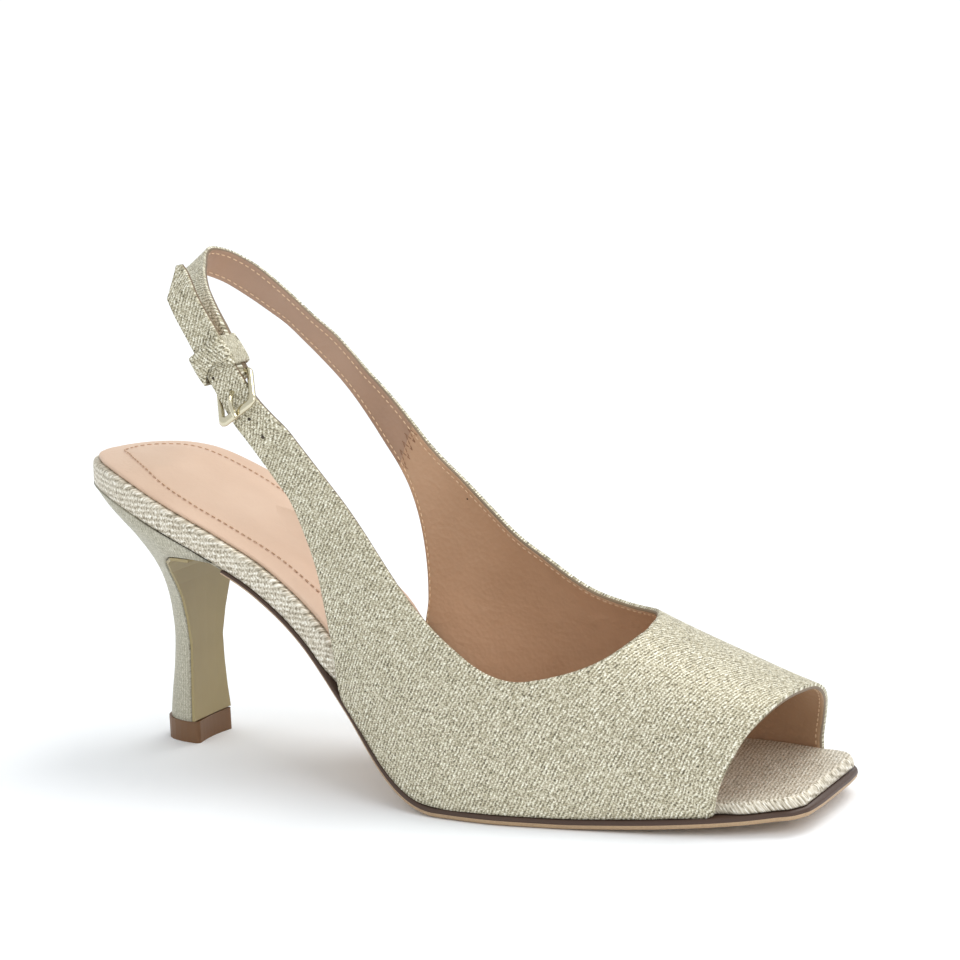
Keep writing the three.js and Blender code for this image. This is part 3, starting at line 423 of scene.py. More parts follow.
UPPER_ROWS = (
    (0.336, -0.735, 0.368, -0.615), (0.355, -0.741, 0.388, -0.610), (0.375, -0.745, 0.409, -0.599),
    (0.396, -0.772, 0.430, -0.585), (0.412, -0.805, 0.453, -0.573), (0.422, -0.855, 0.475, -0.567),
    (0.432, -0.918, 0.497, -0.566), (0.441, -1.000, 0.518, -0.568), (0.474, -1.000, 0.539, -0.571),
    (0.512, -1.000, 0.560, -0.576), (0.552, -1.000, 0.581, -0.585), (0.592, -1.000, 0.603, -0.596),
    (0.632, -1.000, 0.626, -0.604), (0.672, -1.000, 0.650, -0.602), (0.712, -1.000, 0.675, -0.588),
    (0.752, -1.000, 0.700, -0.553), (0.792, -1.000, 0.724, -0.503), (0.832, -1.000, 0.746, -0.440),
    (0.870, -1.000, 0.764, -0.360), (0.905, -1.000, 0.776, -0.270), (0.911, -0.900, 0.781, -0.210),
    (0.917, -0.790, 0.784, -0.155), (0.926, -0.665, 0.786, -0.105), (0.936, -0.515, 0.786, -0.060),
    (0.947, -0.365, 0.784, -0.020), (0.956, -0.200, 0.781, 0.025), (0.962, -0.030, 0.777, 0.070),
    (0.966, 0.140, 0.772, 0.120), (0.967, 0.300, 0.766, 0.170), (0.964, 0.450, 0.759, 0.220),
    (0.958, 0.590, 0.752, 0.262), (0.951, 0.720, 0.744, 0.297), (0.944, 0.853, 0.735, 0.328),
    (0.938, 1.000, 0.725, 0.355), (0.900, 1.000, 0.711, 0.382), (0.860, 1.000, 0.697, 0.398),
    (0.820, 1.000, 0.682, 0.412), (0.780, 1.000, 0.667, 0.423), (0.740, 1.000, 0.652, 0.430),
    (0.700, 1.000, 0.637, 0.433), (0.660, 1.000, 0.622, 0.434), (0.620, 1.000, 0.606, 0.431),
    (0.580, 1.000, 0.590, 0.428), (0.540, 1.000, 0.573, 0.427), (0.500, 1.000, 0.556, 0.429),
    (0.461, 1.000, 0.538, 0.434), (0.424, 1.000, 0.519, 0.448), (0.425, 0.925, 0.500, 0.466),
    (0.423, 0.855, 0.480, 0.488), (0.416, 0.786, 0.459, 0.516), (0.404, 0.738, 0.437, 0.538),
    (0.389, 0.715, 0.415, 0.551), (0.371, 0.703, 0.394, 0.561), (0.349, 0.688, 0.373, 0.570),
    (0.326, 0.675, 0.350, 0.579))
WALL = 1.7
lasted = {side: [row[0] for row in UPPER_ROWS if row[1] == sign]
          for side, sign in (("outer", -1), ("inner", 1))}
STARTS = {side: min(places) for side, places in lasted.items()}
ENDS = {side: max(places) for side, places in lasted.items()}
TUCK_FAR, TUCK_NEAR = 0.036, 0.006


def wall_inset(along, side):
    """Room that the insole leaves for the upper's wall where it is lasted under."""
    starts = smoothstep(STARTS[side] - TUCK_FAR, STARTS[side] - TUCK_NEAR, along)
    ends = 1 - smoothstep(ENDS[side] + TUCK_NEAR, ENDS[side] + TUCK_FAR, along)
    return (WALL + GAP) * starts * ends


SEAT_BAND, TOE_BAND, WAIST_SKIVE = 6.7, 3.2, 3.4


def band_depth(along, side):
    """Depth of the wrapped edge; the arch side is skived thinner in the waist."""
    waist = smoothstep(0.2, 0.34, along) * (1 - smoothstep(0.46, 0.6, along)) if side == "inner" else 0
    return mix(SEAT_BAND, TOE_BAND, smoothstep(0.42, 0.62, along)) - WAIST_SKIVE * waist


# A lighter copy of the upper's cloth: painted light on the insole's top and toe.
insole_cloth_painted_light = fabric("insole_cloth_painted_light", 1.15, 90, (128, 118, 98), (208, 198, 178), (255, 252, 242))
INSOLE_MARGIN = 0.8
places = outline(0, 1 - INSOLE_MARGIN / LENGTH, 170)
# Steps up the edge: how far in, share of the depth, and millimetres off that share
insole_steps = ((0.3, 0.0, 0), (0.05, 0.12, 0), (0.0, 0.3, 0), (0.0, 1.0, -1.3), (0.1, 1.0, -0.8),
                (0.38, 1.0, -0.38), (0.8, 1.0, -0.1), (1.3, 1.0, 0.0))
rings = []
for inset, share, off in insole_steps:
    rings.append(level(places, lambda a, s, i=inset: wall_inset(a, s) + i,
                       lambda a, s, m=share, d=off: mix(GAP, band_depth(a, s) + GAP, m) + d))
CLOTH_TURNS_FROM, CLOTH_TURNS_TO = 95, 150


def insole_weave(p):
    """The cloth lies level round the seat and crosswise under the toes."""
    toe_part = smoothstep(CLOTH_TURNS_FROM, CLOTH_TURNS_TO, p.x)
    return (mix(0.9 * (p.x + abs(p.y)), p.y + 0.5 * p.z, toe_part),
            mix(0.75 * p.z + 0.1 * abs(p.y), p.x + 0.2 * p.y + 0.7 * p.z, toe_part))


points, faces, _, uvs = loft(rings, insole_weave)
insole = mesh_object("wrapped_insole", points, faces, [insole_cloth_painted_light], uvs=uvs)
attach(insole, "root")
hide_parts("insole")

# Sock.
# Soft beige lining leather glued over the insole, from the seat to under the ball of the foot, with
# an oval pad of foam under it at the seat.
def leather(name, base, dark, rough, wrinkle, scale):
    made, nodes, links, shader = material(name, srgb(*base), rough)
    place = nodes.new("ShaderNodeTexCoord")
    cloud = nodes.new("ShaderNodeTexNoise")
    cloud.inputs["Scale"].default_value = 26
    cloud.inputs["Detail"].default_value = 4
    ramp = nodes.new("ShaderNodeValToRGB")
    ramp.color_ramp.elements[0].position = 0.3
    ramp.color_ramp.elements[0].color = (*srgb(*dark), 1)
    ramp.color_ramp.elements[1].position = 0.65
    ramp.color_ramp.elements[1].color = (*srgb(*base), 1)
    pores = nodes.new("ShaderNodeTexVoronoi")
    pores.inputs["Scale"].default_value = scale * 3
    folds = nodes.new("ShaderNodeTexNoise")
    folds.inputs["Scale"].default_value = scale * 0.35
    folds.inputs["Detail"].default_value = 5
    folds.inputs["Distortion"].default_value = 1.2
    both = nodes.new("ShaderNodeMath")
    both.operation = "MULTIPLY_ADD"
    both.inputs[1].default_value = 0.25
    bump = nodes.new("ShaderNodeBump")
    bump.inputs["Strength"].default_value = wrinkle
    bump.inputs["Distance"].default_value = 0.0006
    for node in (cloud, pores, folds):
        links.new(place.outputs["Object"], node.inputs["Vector"])
    links.new(cloud.outputs["Fac"], ramp.inputs["Fac"])
    links.new(ramp.outputs["Color"], shader.inputs["Base Color"])
    links.new(pores.outputs["Distance"], both.inputs[0])
    links.new(folds.outputs["Fac"], both.inputs[2])
    links.new(both.outputs[0], bump.inputs["Height"])
    links.new(bump.outputs["Normal"], shader.inputs["Normal"])
    return made


STITCH_SIDES = 6
STITCH_RINGS = ((-0.5, 0.35), (-0.3, 1.0), (0.3, 1.0), (0.5, 0.35))


def stitches(name, line, normals, mat, length, space, thick):
    """Thread laid along a line of places in millimetres, one small rounded stitch after another."""
    points, faces = [], []
    run, target = 0.0, length / 2
    for i in range(len(line) - 1):
        a, b = line[i], line[i + 1]
        step = (b - a).length
        while step > 0 and run + step >= target:
            t = (target - run) / step
            centre = a.lerp(b, t)
            up = normals[i].lerp(normals[i + 1], t).normalized()
            ahead_dir = (b - a).normalized()
            side = up.cross(ahead_dir).normalized()
            first = len(points)
            for share, wide in STITCH_RINGS:
                core = centre + ahead_dir * (length * share) + up * (thick * (0.5 * wide))
                for k in range(STITCH_SIDES):
                    angle = k * 2 * math.pi / STITCH_SIDES
                    points.append((core + side * (thick * wide * math.cos(angle))
                                   + up * (thick * wide * 0.8 * math.sin(angle))) * MM)
            for ring in range(len(STITCH_RINGS) - 1):
                for k in range(STITCH_SIDES):
                    p = first + ring * STITCH_SIDES + k
                    q = first + ring * STITCH_SIDES + (k + 1) % STITCH_SIDES
                    faces.append((p, q, q + STITCH_SIDES, p + STITCH_SIDES))
            last_ring = first + (len(STITCH_RINGS) - 1) * STITCH_SIDES
            faces.append(tuple(first + k for k in reversed(range(STITCH_SIDES))))
            faces.append(tuple(last_ring + k for k in range(STITCH_SIDES)))
            target += length + space
        run += step
    made = mesh_object(name, points, faces, [mat])
    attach(made, "root")
    return made


SOCK_LENGTH, SOCK_INSET, SOCK_THICK = 180, 1.9, 0.9
sock_leather = leather("sock_leather", (216, 187, 163), (204, 172, 147), 0.5, 0.35, 300)
places = outline(0, SOCK_LENGTH / LENGTH, 130)
sock_low = lambda along, side: band_depth(along, side) + 2 * GAP
PAD_END, PAD_RISE = 0.47, 0.35
OVAL_INSET, OVAL_ROUNDING = 7.4, 1.3


def oval(along):
    """How far the oval lies in from the sock's edge; its back corners are rounded off."""
    return OVAL_INSET + OVAL_ROUNDING * smoothstep(0.002, 0.03, along) * (1 - smoothstep(0.03, 0.16, along))


def pad(along, inset):
    """Rise of the padded oval over the flat sock at some distance in from its edge."""
    inside = smoothstep(oval(along) - 0.2, oval(along) + 1.4, inset)
    return PAD_RISE * inside * (1 - smoothstep(PAD_END - 0.02, PAD_END, along))


# Steps of the sock: how far in from its edge, and share of its thickness
sock_steps = [(0.0, 0.0), (0.0, 0.7), (0.25, 0.95)]
sock_steps += [(inset, 1.0) for inset in (0.9, 3, 5.5, 7.2, 7.8, 8.4, 9.2, 12, 16)]
rings = []
for inset, rise in sock_steps:
    limit = lambda a, s, i=inset: min(i, max(last(s, a) * BALL - wall_inset(a, s) - SOCK_INSET - 0.3, 0))
    padded = lambda a, s, r=rise, f=limit: pad(a, f(a, s)) if r == 1 else 0
    rings.append(level(places, lambda a, s, f=limit: wall_inset(a, s) + SOCK_INSET + f(a, s),
                       lambda a, s, r=rise, p=padded: sock_low(a, s) + SOCK_THICK * r + p(a, s)))
points, faces, _, _ = loft(rings)
sock = mesh_object("leather_sock", points, faces, [sock_leather])
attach(sock, "root")
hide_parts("sock")

# Sock stitching.
# One row of fine beige thread, sewn round the padded oval through sock and foam.
sock_thread, *_ = material("sock_thread", srgb(190, 152, 122), 0.6)
stitch_inset = lambda a, s: wall_inset(a, s) + SOCK_INSET + oval(a)
ring = level(places, stitch_inset, lambda a, s: sock_low(a, s) + SOCK_THICK + 0.25)
half_count = len(ring) // 2
OVAL_START = 0.0015
inner_side = [k for k in range(half_count, len(ring)) if OVAL_START < places[k][1] < PAD_END]
outer_side = [k for k in range(half_count) if OVAL_START < places[k][1] < PAD_END]
line = [ring[k] for k in inner_side + outer_side]
normals = []
for k in inner_side + outer_side:
    along = places[k][1]
    low, high = max(along - 0.004, 0.0001), along + 0.004
    normals.append(Vector((feather(low) - feather(high), 0, (high - low) * LENGTH)).normalized())
sock_stitches = stitches("sock_stitches", line, normals, sock_thread, 1.5, 0.7, 0.2)

# Heel.
# A moulded block covered with the upper's fabric and nailed on, flared under the seat and slim at the
# neck. Each row: rise of the back and of the front, place of both in seat lengths, half width in ball
# widths, and share of the seat's own outline.
HEEL_ROWS = (
    (0.000, 0.000, -0.136, 0.084, 0.129, 0.00), (0.100, 0.135, -0.121, 0.080, 0.120, 0.00),
    (0.212, 0.288, -0.099, 0.080, 0.111, 0.00), (0.325, 0.440, -0.086, 0.082, 0.107, 0.00),
    (0.451, 0.592, -0.083, 0.090, 0.116, 0.05), (0.550, 0.726, -0.094, 0.097, 0.136, 0.10),
    (0.634, 0.821, -0.120, 0.105, 0.160, 0.18), (0.719, 0.907, -0.169, 0.118, 0.191, 0.30),
    (0.803, 0.973, -0.234, 0.145, 0.234, 0.45), (0.880, 1.010, -0.316, 0.205, 0.287, 0.65),
    (0.944, 1.018, -0.400, 0.330, 0.340, 0.85), (1.000, 1.000, -0.477, 0.523, 0.385, 1.00))
TIP_HEIGHT, COVER = 6.6, 0.9


def heel_values(step):
    """The heel's table read smoothly between its rows; step runs from 0 at the tip to 11 at the seat."""
    keys = list(range(len(HEEL_ROWS)))
    return [between(keys, [row[i] for row in HEEL_ROWS], step) for i in range(6)]


def heel_ring(step, shift, count=26):
    back_rise, front_rise, back, front, width, seat = heel_values(step)
    sides = {"outer": [], "inner": []}
    for i in range(count):
        share = (i / (count - 1)) ** 1.8
        along = max(share * HEEL_SEAT / LENGTH, 0.0004)
        round_y = math.sqrt(max(1 - (1 - max(share, 0.001)) ** 2, 0))
        x = mix(back * HEEL_SEAT, front * HEEL_SEAT, share)
        rise = mix(back_rise, front_rise, share)
        for side, sign in (("outer", -1), ("inner", 1)):
            y = sign * mix(width * BALL * round_y, last(side, along) * BALL, seat)
            z = mix(TIP_HEIGHT + GAP, feather(along), rise)
            sides[side].append(Vector((x, y, z)) + shift * share)
    return sides["outer"] + sides["inner"][::-1]


heel_cloth = fabric("heel_cloth", 1.0, 4, (132, 127, 109), (180, 175, 156), (230, 227, 212), 0.6)
steps = [i * 11 / 44 for i in range(45)]
profile = [heel_ring(step, Vector((0, 0, 0)), 3)[2] for step in steps]
breast_normals = []
for i in range(len(steps)):
    a, b = profile[max(i - 1, 0)], profile[min(i + 1, len(steps) - 1)]
    breast_normals.append(Vector((b.z - a.z, 0, a.x - b.x)).normalized())
rings = [heel_ring(step, -normal * (COVER + GAP) * (1 if step < 10.9 else 0))
         for step, normal in zip(steps, breast_normals)]
points, faces, _, uvs = loft(rings, lambda p: (0.9 * (p.x + abs(p.y)), p.z))
heel = mesh_object("covered_heel", points, faces, [heel_cloth], uvs=uvs)
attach(heel, "root")
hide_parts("heel")

# Heel breast.
# A thin cover of olive-beige leather, cut to the hollow front face of the heel and glued on.
breast_leather = leather("breast_leather", (166, 149, 104), (150, 133, 90), 0.4, 0.05, 260)
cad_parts["heel_breast"].data.materials.clear()
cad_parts["heel_breast"].data.materials.append(breast_leather)

# Heel tip.
# A hard brown top piece of rubber with a straight front edge, pinned under the heel.
tip_rubber, nodes, links, shader = material("tip_rubber", srgb(112, 80, 48), 0.45)
tip_noise = nodes.new("ShaderNodeTexNoise")
tip_noise.inputs["Scale"].default_value = 480
tip_ramp = nodes.new("ShaderNodeValToRGB")
tip_ramp.color_ramp.elements[0].color = (*srgb(92, 62, 36), 1)
tip_ramp.color_ramp.elements[1].color = (*srgb(132, 94, 58), 1)
links.new(tip_noise.outputs["Fac"], tip_ramp.inputs["Fac"])
links.new(tip_ramp.outputs["Color"], shader.inputs["Base Color"])
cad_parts["heel_tip"].data.materials.clear()
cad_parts["heel_tip"].data.materials.append(tip_rubber)

# Upper.
# Fabric, stiffener and lining, lasted as one wall: open toe, low throat and two wings. The outer wing
# runs up into the strap's free end, the inner one into the sling that is folded over the hinge bar.
# Strap rows: along, side and height of the lower end, the same of the upper end, share of the wall.
TIP_ROWS = (
    (0.229, -0.539, 0.990, 0.235, -0.539, 0.992, 1), (0.224, -0.542, 0.967, 0.242, -0.541, 0.979, 1),
    (0.214, -0.548, 0.926, 0.249, -0.547, 0.958, 1), (0.225, -0.554, 0.893, 0.259, -0.553, 0.926, 1),
    (0.239, -0.557, 0.857, 0.274, -0.557, 0.890, 1), (0.252, -0.559, 0.823, 0.288, -0.559, 0.856, 1),
    (0.265, -0.559, 0.787, 0.301, -0.559, 0.820, 1), (0.280, -0.559, 0.750, 0.315, -0.559, 0.785, 1),
    (0.300, -0.555, 0.697, 0.335, -0.555, 0.742, 1), (0.318, -0.545, 0.660, 0.352, -0.537, 0.711, 1.05))
SLING_ROWS = (
    (0.304, 0.440, 0.731, 0.327, 0.418, 0.780, 1.05), (0.280, 0.444, 0.765, 0.301, 0.420, 0.818, 1),
    (0.255, 0.446, 0.799, 0.272, 0.419, 0.852, 1), (0.229, 0.444, 0.834, 0.245, 0.411, 0.889, 1),
    (0.201, 0.432, 0.864, 0.219, 0.393, 0.925, 1), (0.175, 0.405, 0.893, 0.195, 0.362, 0.957, 1),
    (0.151, 0.358, 0.921, 0.174, 0.313, 0.981, 1), (0.134, 0.288, 0.940, 0.163, 0.245, 0.994, 1),
    (0.127, 0.200, 0.951, 0.160, 0.165, 0.999, 1), (0.130, 0.105, 0.955, 0.166, 0.085, 0.996, 1),
    (0.141, 0.005, 0.953, 0.177, 0.005, 0.989, 1), (0.157, -0.105, 0.943, 0.192, -0.088, 0.979, 1),
    (0.178, -0.233, 0.925, 0.210, -0.203, 0.965, 1), (0.204, -0.356, 0.897, 0.234, -0.325, 0.941, 1),
    (0.228, -0.440, 0.864, 0.258, -0.415, 0.911, 1.3), (0.245, -0.487, 0.838, 0.277, -0.473, 0.882, 1.8),
    (0.258, -0.513, 0.815, 0.292, -0.507, 0.854, 1.9), (0.267, -0.524, 0.790, 0.301, -0.521, 0.827, 2.2),
    (0.272, -0.524, 0.764, 0.306, -0.521, 0.802, 3.0), (0.278, -0.526, 0.754, 0.311, -0.526, 0.791, 3.3),
    (0.284, -0.514, 0.741, 0.317, -0.514, 0.778, 2.2))
ANKLE, SLING_HEIGHT, STRAP = 56, 146.8, 1.5
COLUMNS, BETWEEN = 40, 5
STRAIGHT_ROWS, MEASURED_EVERY = 2, 4
# The cloth runs on from the wings into the straps, measured along and across each strap
ALONG_STRAP, ACROSS_STRAP = (-0.45, 0.89), (0.89, 0.45)


def strap_ends(row):
    low = Vector((row[0] * LENGTH - OVERHANG, row[1] * ANKLE, row[2] * SLING_HEIGHT))
    top = Vector((row[3] * LENGTH - OVERHANG, row[4] * ANKLE, row[5] * SLING_HEIGHT))
    return low, top


def section_length(along, girth):
    """Way round the last from the outer feather edge to some place on it."""
    count = 16
    line = [last_point(along, mix(-1, girth, k / count)) for k in range(count + 1)]
    return sum((b - a).length for a, b in zip(line, line[1:]))


key_lines, key_uvs, key_walls = [], [], []
for row in TIP_ROWS:
    low, top = strap_ends(row)
    key_lines.append([low.lerp(top, c / COLUMNS) for c in range(COLUMNS + 1)])
    key_uvs.append(None)
    key_walls.append(row[6] * STRAP)
for row in UPPER_ROWS:
    line, measured = [], []
    for c in range(COLUMNS + 1):
        along, girth = mix(row[0], row[2], c / COLUMNS), mix(row[1], row[3], c / COLUMNS)
        line.append(last_point(along, girth))
        if c % MEASURED_EVERY == 0:
            measured.append((line[c].x, section_length(along, girth) + feather(along)))
    full = []
    for c in range(COLUMNS + 1):
        k = min(c // MEASURED_EVERY, len(measured) - 2)
        t = c / MEASURED_EVERY - k
        full.append(tuple(mix(measured[k][axis], measured[k + 1][axis], t) for axis in (0, 1)))
    key_lines.append(line)
    key_uvs.append(full)
    key_walls.append(WALL)
for row in SLING_ROWS:
    low, top = strap_ends(row)
    key_lines.append([low.lerp(top, c / COLUMNS) for c in range(COLUMNS + 1)])
    key_uvs.append(None)
    key_walls.append(row[6] * STRAP)
first_wing, last_wing = len(TIP_ROWS), len(TIP_ROWS) + len(UPPER_ROWS) - 1
for step, first, end in ((-1, first_wing - 1, -1), (1, last_wing + 1, len(key_lines))):
    for i in range(first, end, step):
        near, far = key_lines[i - step], key_lines[i]
        run = (far[COLUMNS // 2] - near[COLUMNS // 2]).length
        width = (far[-1] - far[0]).length
        middle = key_uvs[i - step][COLUMNS // 2]
        centre = [middle[axis] + ALONG_STRAP[axis] * run for axis in (0, 1)]
        offsets = [width * (c / COLUMNS - 0.5) for c in range(COLUMNS + 1)]
        key_uvs[i] = [tuple(centre[axis] + ACROSS_STRAP[axis] * off for axis in (0, 1)) for off in offsets]


def smooth_between(values, i, t):
    """Catmull-Rom value between entries i and i + 1 of a list of equal arrays."""
    before, a, b, after = (values[min(max(k, 0), len(values) - 1)] for k in (i - 1, i, i + 1, i + 2))
    return 0.5 * (2 * a + (b - before) * t + (2 * before - 5 * a + 4 * b - after) * t ** 2
                  + (3 * a - before - 3 * b + after) * t ** 3)


line_arrays = [np.array([tuple(p) for p in line]) for line in key_lines]
uv_arrays = [np.array(uv) for uv in key_uvs]
grid, grid_uv, walls = [], [], []
for i in range(len(line_arrays) - 1):
    for k in range(BETWEEN):
        t = k / BETWEEN
        if i < STRAIGHT_ROWS:
            grid.append(line_arrays[i] * (1 - t) + line_arrays[i + 1] * t)
        else:
            grid.append(smooth_between(line_arrays[STRAIGHT_ROWS:], i - STRAIGHT_ROWS, t))
        grid_uv.append(uv_arrays[i] * (1 - t) + uv_arrays[i + 1] * t)
        walls.append(mix(key_walls[i], key_walls[i + 1], t))
grid.append(line_arrays[-1])
grid_uv.append(uv_arrays[-1])
walls.append(key_walls[-1])
grid = np.array(grid)
grid[:, :, 2] += GAP
along_rows = np.gradient(grid, axis=0)
along_columns = np.gradient(grid, axis=1)
normal_grid = np.cross(along_rows, along_columns)
normal_grid /= np.maximum(np.linalg.norm(normal_grid, axis=2, keepdims=True), 1e-9)
walls = np.array(walls)[:, None, None]

upper_cloth = fabric("upper_cloth", 0.95, -24)
lining = leather("lining_leather", (198, 164, 134), (180, 146, 116), 0.5, 0.8, 240)
# The strap's lining is its own piece, but its darker, greyer leather is also painted shade for the inside of
# the strap.
strap_lining_painted_shade = leather("strap_lining_painted_shade", (176, 146, 124), (158, 128, 106), 0.5, 0.7, 240)
folded_edge = leather("folded_edge", (126, 106, 80), (102, 84, 62), 0.5, 0.12, 300)
# The edge between the two faces: share of the wall, and how far it stands out there
EDGE = ((0.22, 0.0), (0.5, -0.06), (0.78, 0.0))
CLOTH, LINING, FOLD, STRAP_LINING = range(4)
row_count, column_count = grid.shape[:2]
border = [(r, 0) for r in range(row_count)] + [(row_count - 1, c) for c in range(1, column_count)]
border += [(r, column_count - 1) for r in range(row_count - 2, -1, -1)]
border += [(0, c) for c in range(column_count - 2, 0, -1)]
points = [tuple(p * MM) for p in grid.reshape(-1, 3)]
inner_grid = grid - normal_grid * walls
points += [tuple(p * MM) for p in inner_grid.reshape(-1, 3)]
uvs = [tuple(u) for u in np.array(grid_uv).reshape(-1, 2)] * 2
STRAP_LINING_ROW = (len(TIP_ROWS) + len(UPPER_ROWS) - 4) * BETWEEN
faces, face_mats = [], []
size = row_count * column_count
at = lambda r, c: r * column_count + c
for r in range(row_count - 1):
    for c in range(column_count - 1):
        faces.append((at(r, c), at(r + 1, c), at(r + 1, c + 1), at(r, c + 1)))
        face_mats.append(CLOTH)
        faces.append(tuple(size + v for v in (at(r, c), at(r, c + 1), at(r + 1, c + 1), at(r + 1, c))))
        face_mats.append(STRAP_LINING if r >= STRAP_LINING_ROW else LINING)
rim_rings = []
for share, dip in EDGE:
    ring = []
    for r, c in border:
        out, into = grid[r, c], inner_grid[r, c]
        if c in (0, column_count - 1):
            inward = grid[r, 1 if c == 0 else c - 1] - grid[r, c]
        else:
            inward = grid[1 if r == 0 else r - 1, c] - grid[r, c]
        inward = inward / max(np.linalg.norm(inward), 1e-9)
        ring.append(len(points))
        points.append(tuple((out * (1 - share) + into * share + inward * dip) * MM))
        uvs.append(tuple(grid_uv[r][c]))
    rim_rings.append(ring)
rim_rings = [[at(r, c) for r, c in border]] + rim_rings + [[size + at(r, c) for r, c in border]]
for k in range(len(rim_rings) - 1):
    one, two = rim_rings[k], rim_rings[k + 1]
    for i in range(len(border)):
        j = (i + 1) % len(border)
        faces.append((one[i], two[i], two[j], one[j]))
        face_mats.append(CLOTH if k < 2 else FOLD)
upper = mesh_object("lasted_upper", points, faces, [upper_cloth, lining, folded_edge, strap_lining_painted_shade],
                    face_mats=face_mats, uvs=uvs)
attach(upper, "root")
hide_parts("upper")

# Lining stitches.
# Fine beige thread beside the topline and beside the rear edge of each wing, seen on the lining.
lining_thread, *_ = material("lining_thread", srgb(226, 198, 164), 0.6)


def edge_line(rows, edge, inset):
    """Places on the lining some way in from the topline (edge -1) or the lower edge (edge 0)."""
    next_in = edge - 1 if edge == -1 else 1
    line, normals = [], []
    for r in rows:
        start, towards = inner_grid[r, edge], inner_grid[r, next_in]
        step = (towards - start) / max(np.linalg.norm(towards - start), 1e-9)
        line.append(Vector(start + step * inset))
        normals.append(Vector(-normal_grid[r, edge]))
    return line, normals


STITCH_INSET = 1.5
wing_row = len(TIP_ROWS) * BETWEEN
sling_row = (len(TIP_ROWS) + len(UPPER_ROWS)) * BETWEEN
for name, rows, edge in (
        ("topline_stitches", range(wing_row, sling_row + 15 * BETWEEN), -1),
        ("outer_rear_stitches", range(wing_row, wing_row + 8 * BETWEEN), 0),
        ("inner_rear_stitches", range(sling_row - 9 * BETWEEN, sling_row + 15 * BETWEEN), 0),
        ("toe_stitches", range(wing_row + 19 * BETWEEN, wing_row + 34 * BETWEEN), 0)):
    line, normals = edge_line(rows, edge, STITCH_INSET)
    stitches(name, line, normals, lining_thread, 1.3, 0.7, 0.2)

# Lining seam.
# The strap's lining is joined to the quarter's lining by a zigzag row of thread across the inner wing.
# Dark brown thread: its darkness is partly painted shade for the crease along the seam.
seam_thread_crease_shade, *_ = material("seam_thread_crease_shade", srgb(150, 112, 84), 0.6)
seam_row = sling_row - 4 * BETWEEN - 1
line, normals = [], []
for turn, c in enumerate(range(2, COLUMNS, 4)):
    r = seam_row + (2 if turn % 2 == 0 else -1)
    line.append(Vector(inner_grid[r, c]))
    normals.append(Vector(-normal_grid[r, c]))
stitches("seam_zigzag", line, normals, seam_thread_crease_shade, 1.3, 0.25, 0.13)

# Punched holes.
# Small round holes punched through the strap, for a tighter or a wider fit, and a prick in the lining.
# Each is drawn as a dark disc lying just over the surface: painted shade for the inside of the hole.
# Dark discs: painted shade where the holes are.
hole_painted_shade, *_ = material("hole_painted_shade", srgb(60, 50, 38), 0.8)
HOLE_SIDES, HOLE_LIFT = 16, 0.06
# Face of the wall and its direction, row and column of the place, radius
HOLES = ((grid, 1, 32, 7, 0.45), (grid, 1, 42, 19, 0.5), (grid, 1, 47, 17, 0.5),
         (inner_grid, -1, 285, 35, 0.3))
for number, (face, sign, r, c, radius) in enumerate(HOLES):
    out = Vector(normal_grid[r, c]) * sign
    middle = Vector(face[r, c]) + out * HOLE_LIFT
    side = out.cross(Vector((0, 0, 1))).normalized()
    rise = side.cross(out)
    points = [middle * MM]
    for k in range(HOLE_SIDES):
        angle = k * 2 * math.pi / HOLE_SIDES
        points.append((middle + side * (radius * math.cos(angle)) + rise * (radius * math.sin(angle))) * MM)
    fan = [(0, 1 + k, 1 + (k + 1) % HOLE_SIDES) for k in range(HOLE_SIDES)]
    hole = mesh_object(f"hole_shade_disc_{number}", points, fan, [hole_painted_shade])
    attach(hole, "root")

# Keeper.
# A loop of the fabric that holds the strap's free end on the sling, folded from a strip and sewn
# behind. Its lower edge is drawn up in the middle.
low, top = strap_ends(SLING_ROWS[-2])
hinge = low.lerp(top, 0.5) + Vector((0, SLING_ROWS[-2][6] * STRAP / 2, GAP))
UP_STRAP = Vector((-0.55, 0, 0.835)).normalized()
ACROSS = Vector((0.835, 0, 0.55)).normalized()
OUTWARD = Vector((0, -1, 0))
KEEPER_HALF, KEEPER_FRONT, KEEPER_BACK, KEEPER_WALL, KEEPER_CORNER = 5.5, 4.8, -3.4, 0.9, 1.5
KEEPER_TOP, KEEPER_LENGTH, KEEPER_ARCH, KEEPER_SHIFT, KEEPER_BULGE = 11.6, 9, 3.2, -0.4, 0.25
FRONT_STEPS, CORNER_STEPS = 12, 8


def rounded_loop(half, front, back, corner, front_steps=1):
    """Places round a rectangle with round corners, each with the direction out of it."""
    loop = []
    for side, middle_y, start in ((1, front - corner, 0), (-1, front - corner, 90),
                                  (-1, back + corner, 180), (1, back + corner, 270)):
        middle_x = side * (half - corner)
        for k in range(CORNER_STEPS + 1):
            angle = math.radians(start + k * 90 / CORNER_STEPS)
            loop.append((middle_x + corner * math.cos(angle), middle_y + corner * math.sin(angle),
                         math.cos(angle), math.sin(angle)))
        if start == 0:
            loop += [(mix(middle_x, -middle_x, k / front_steps), front, 0, 1) for k in range(1, front_steps)]
    return loop


def tube_faces(count, width):
    """Faces of a closed tube with a ring of some width at each of its places."""
    made = []
    for i in range(count):
        here, there = i * width, (i + 1) % count * width
        made += [(here + k, here + (k + 1) % width, there + (k + 1) % width, there + k) for k in range(width)]
    return made


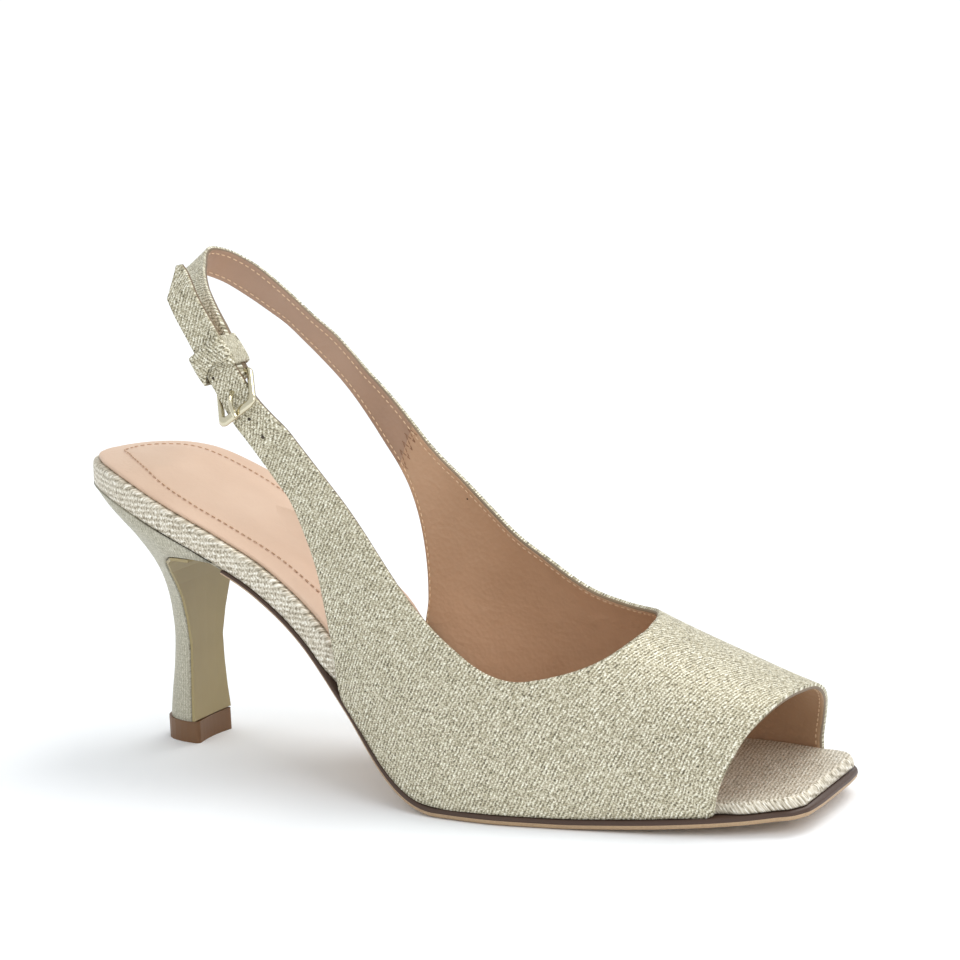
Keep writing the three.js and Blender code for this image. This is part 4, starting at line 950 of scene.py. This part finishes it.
# Section of the band: millimetres out of its middle, and share of its length from the lower edge
BAND_SECTION = [(0.45, share) for share in (0.06, 0.2, 0.35, 0.5, 0.65, 0.8, 0.94)]
BAND_SECTION += [(0.3, 0.99), (0, 1.0), (-0.3, 0.99)] + [(-0.45, share) for share in (0.94, 0.5, 0.06)]
BAND_SECTION += [(-0.3, 0.01), (0, 0.0), (0.3, 0.01)]
path = rounded_loop(KEEPER_HALF + KEEPER_WALL / 2, KEEPER_FRONT + KEEPER_WALL / 2,
                    KEEPER_BACK - KEEPER_WALL / 2, KEEPER_CORNER, FRONT_STEPS)
points, uvs = [], []
length_round = 0
for i, (px, py, nx, ny) in enumerate(path):
    if i:
        length_round += math.hypot(px - path[i - 1][0], py - path[i - 1][1])
    arch = KEEPER_ARCH * max(0, 1 - (px / KEEPER_HALF) ** 2) if py > KEEPER_FRONT / 2 else 0
    for out, share in BAND_SECTION:
        up = mix(KEEPER_TOP - KEEPER_LENGTH + arch, KEEPER_TOP, share)
        reach = out + KEEPER_BULGE * math.sin(math.pi * share)
        place = hinge + ACROSS * (px + nx * reach + KEEPER_SHIFT) + OUTWARD * (py + ny * reach)
        points.append((place + UP_STRAP * up) * MM)
        uvs.append((length_round, up))
faces = [(a, d, c, b) for a, b, c, d in tube_faces(len(path), len(BAND_SECTION))]
keeper = mesh_object("fabric_keeper", points, faces, [upper_cloth], uvs=uvs)
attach(keeper, "root")
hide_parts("keeper")

# Buckle frame.
# Wire plated in pale gold, its front bar pressed wider and flatter than its sides. The sling is folded
# over its hinge bar and sewn.
gold, nodes, links, shader = material("pale_gold", srgb(214, 206, 180), 0.16, 1.0)
gold_noise = nodes.new("ShaderNodeTexNoise")
gold_noise.inputs["Scale"].default_value = 300
gold_range = nodes.new("ShaderNodeMapRange")
gold_range.inputs["To Min"].default_value = 0.1
gold_range.inputs["To Max"].default_value = 0.24
links.new(gold_noise.outputs["Fac"], gold_range.inputs["Value"])
links.new(gold_range.outputs["Result"], shader.inputs["Roughness"])
BUCKLE_WIDTH, BUCKLE_LENGTH, WIRE, TILT, CORNER = 14.4, 13.4, 1.8, math.radians(36), 1.9
SIDE_BAR, FRONT_BAR, WIRE_SIDES = (0.95, 0.95), (1.5, 0.85), 14
DOWN = -UP_STRAP * math.cos(TILT) + OUTWARD * math.sin(TILT)
FACE = ACROSS.cross(DOWN).normalized()
half, span = (BUCKLE_WIDTH - WIRE) / 2, BUCKLE_LENGTH - WIRE
path = rounded_loop(half, span, 0, CORNER)
points = []
for px, py, nx, ny in path:
    front = smoothstep(span - 2.2, span - 0.3, py)
    wide, thin = mix(SIDE_BAR[0], FRONT_BAR[0], front), mix(SIDE_BAR[1], FRONT_BAR[1], front)
    for k in range(WIRE_SIDES):
        angle = k * 2 * math.pi / WIRE_SIDES
        reach = wide * math.cos(angle)
        place = hinge + ACROSS * (px + nx * reach) + DOWN * (py + ny * reach)
        points.append((place + FACE * (thin * math.sin(angle))) * MM)
buckle = mesh_object("wire_frame", points, tube_faces(len(path), WIRE_SIDES), [gold])
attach(buckle, "root")
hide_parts("buckle_frame")

# Buckle prong.
# It hooks round the hinge bar, comes out through the strap's hole and rests on the front bar.
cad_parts["buckle_prong"].data.materials.clear()
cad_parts["buckle_prong"].data.materials.append(gold)
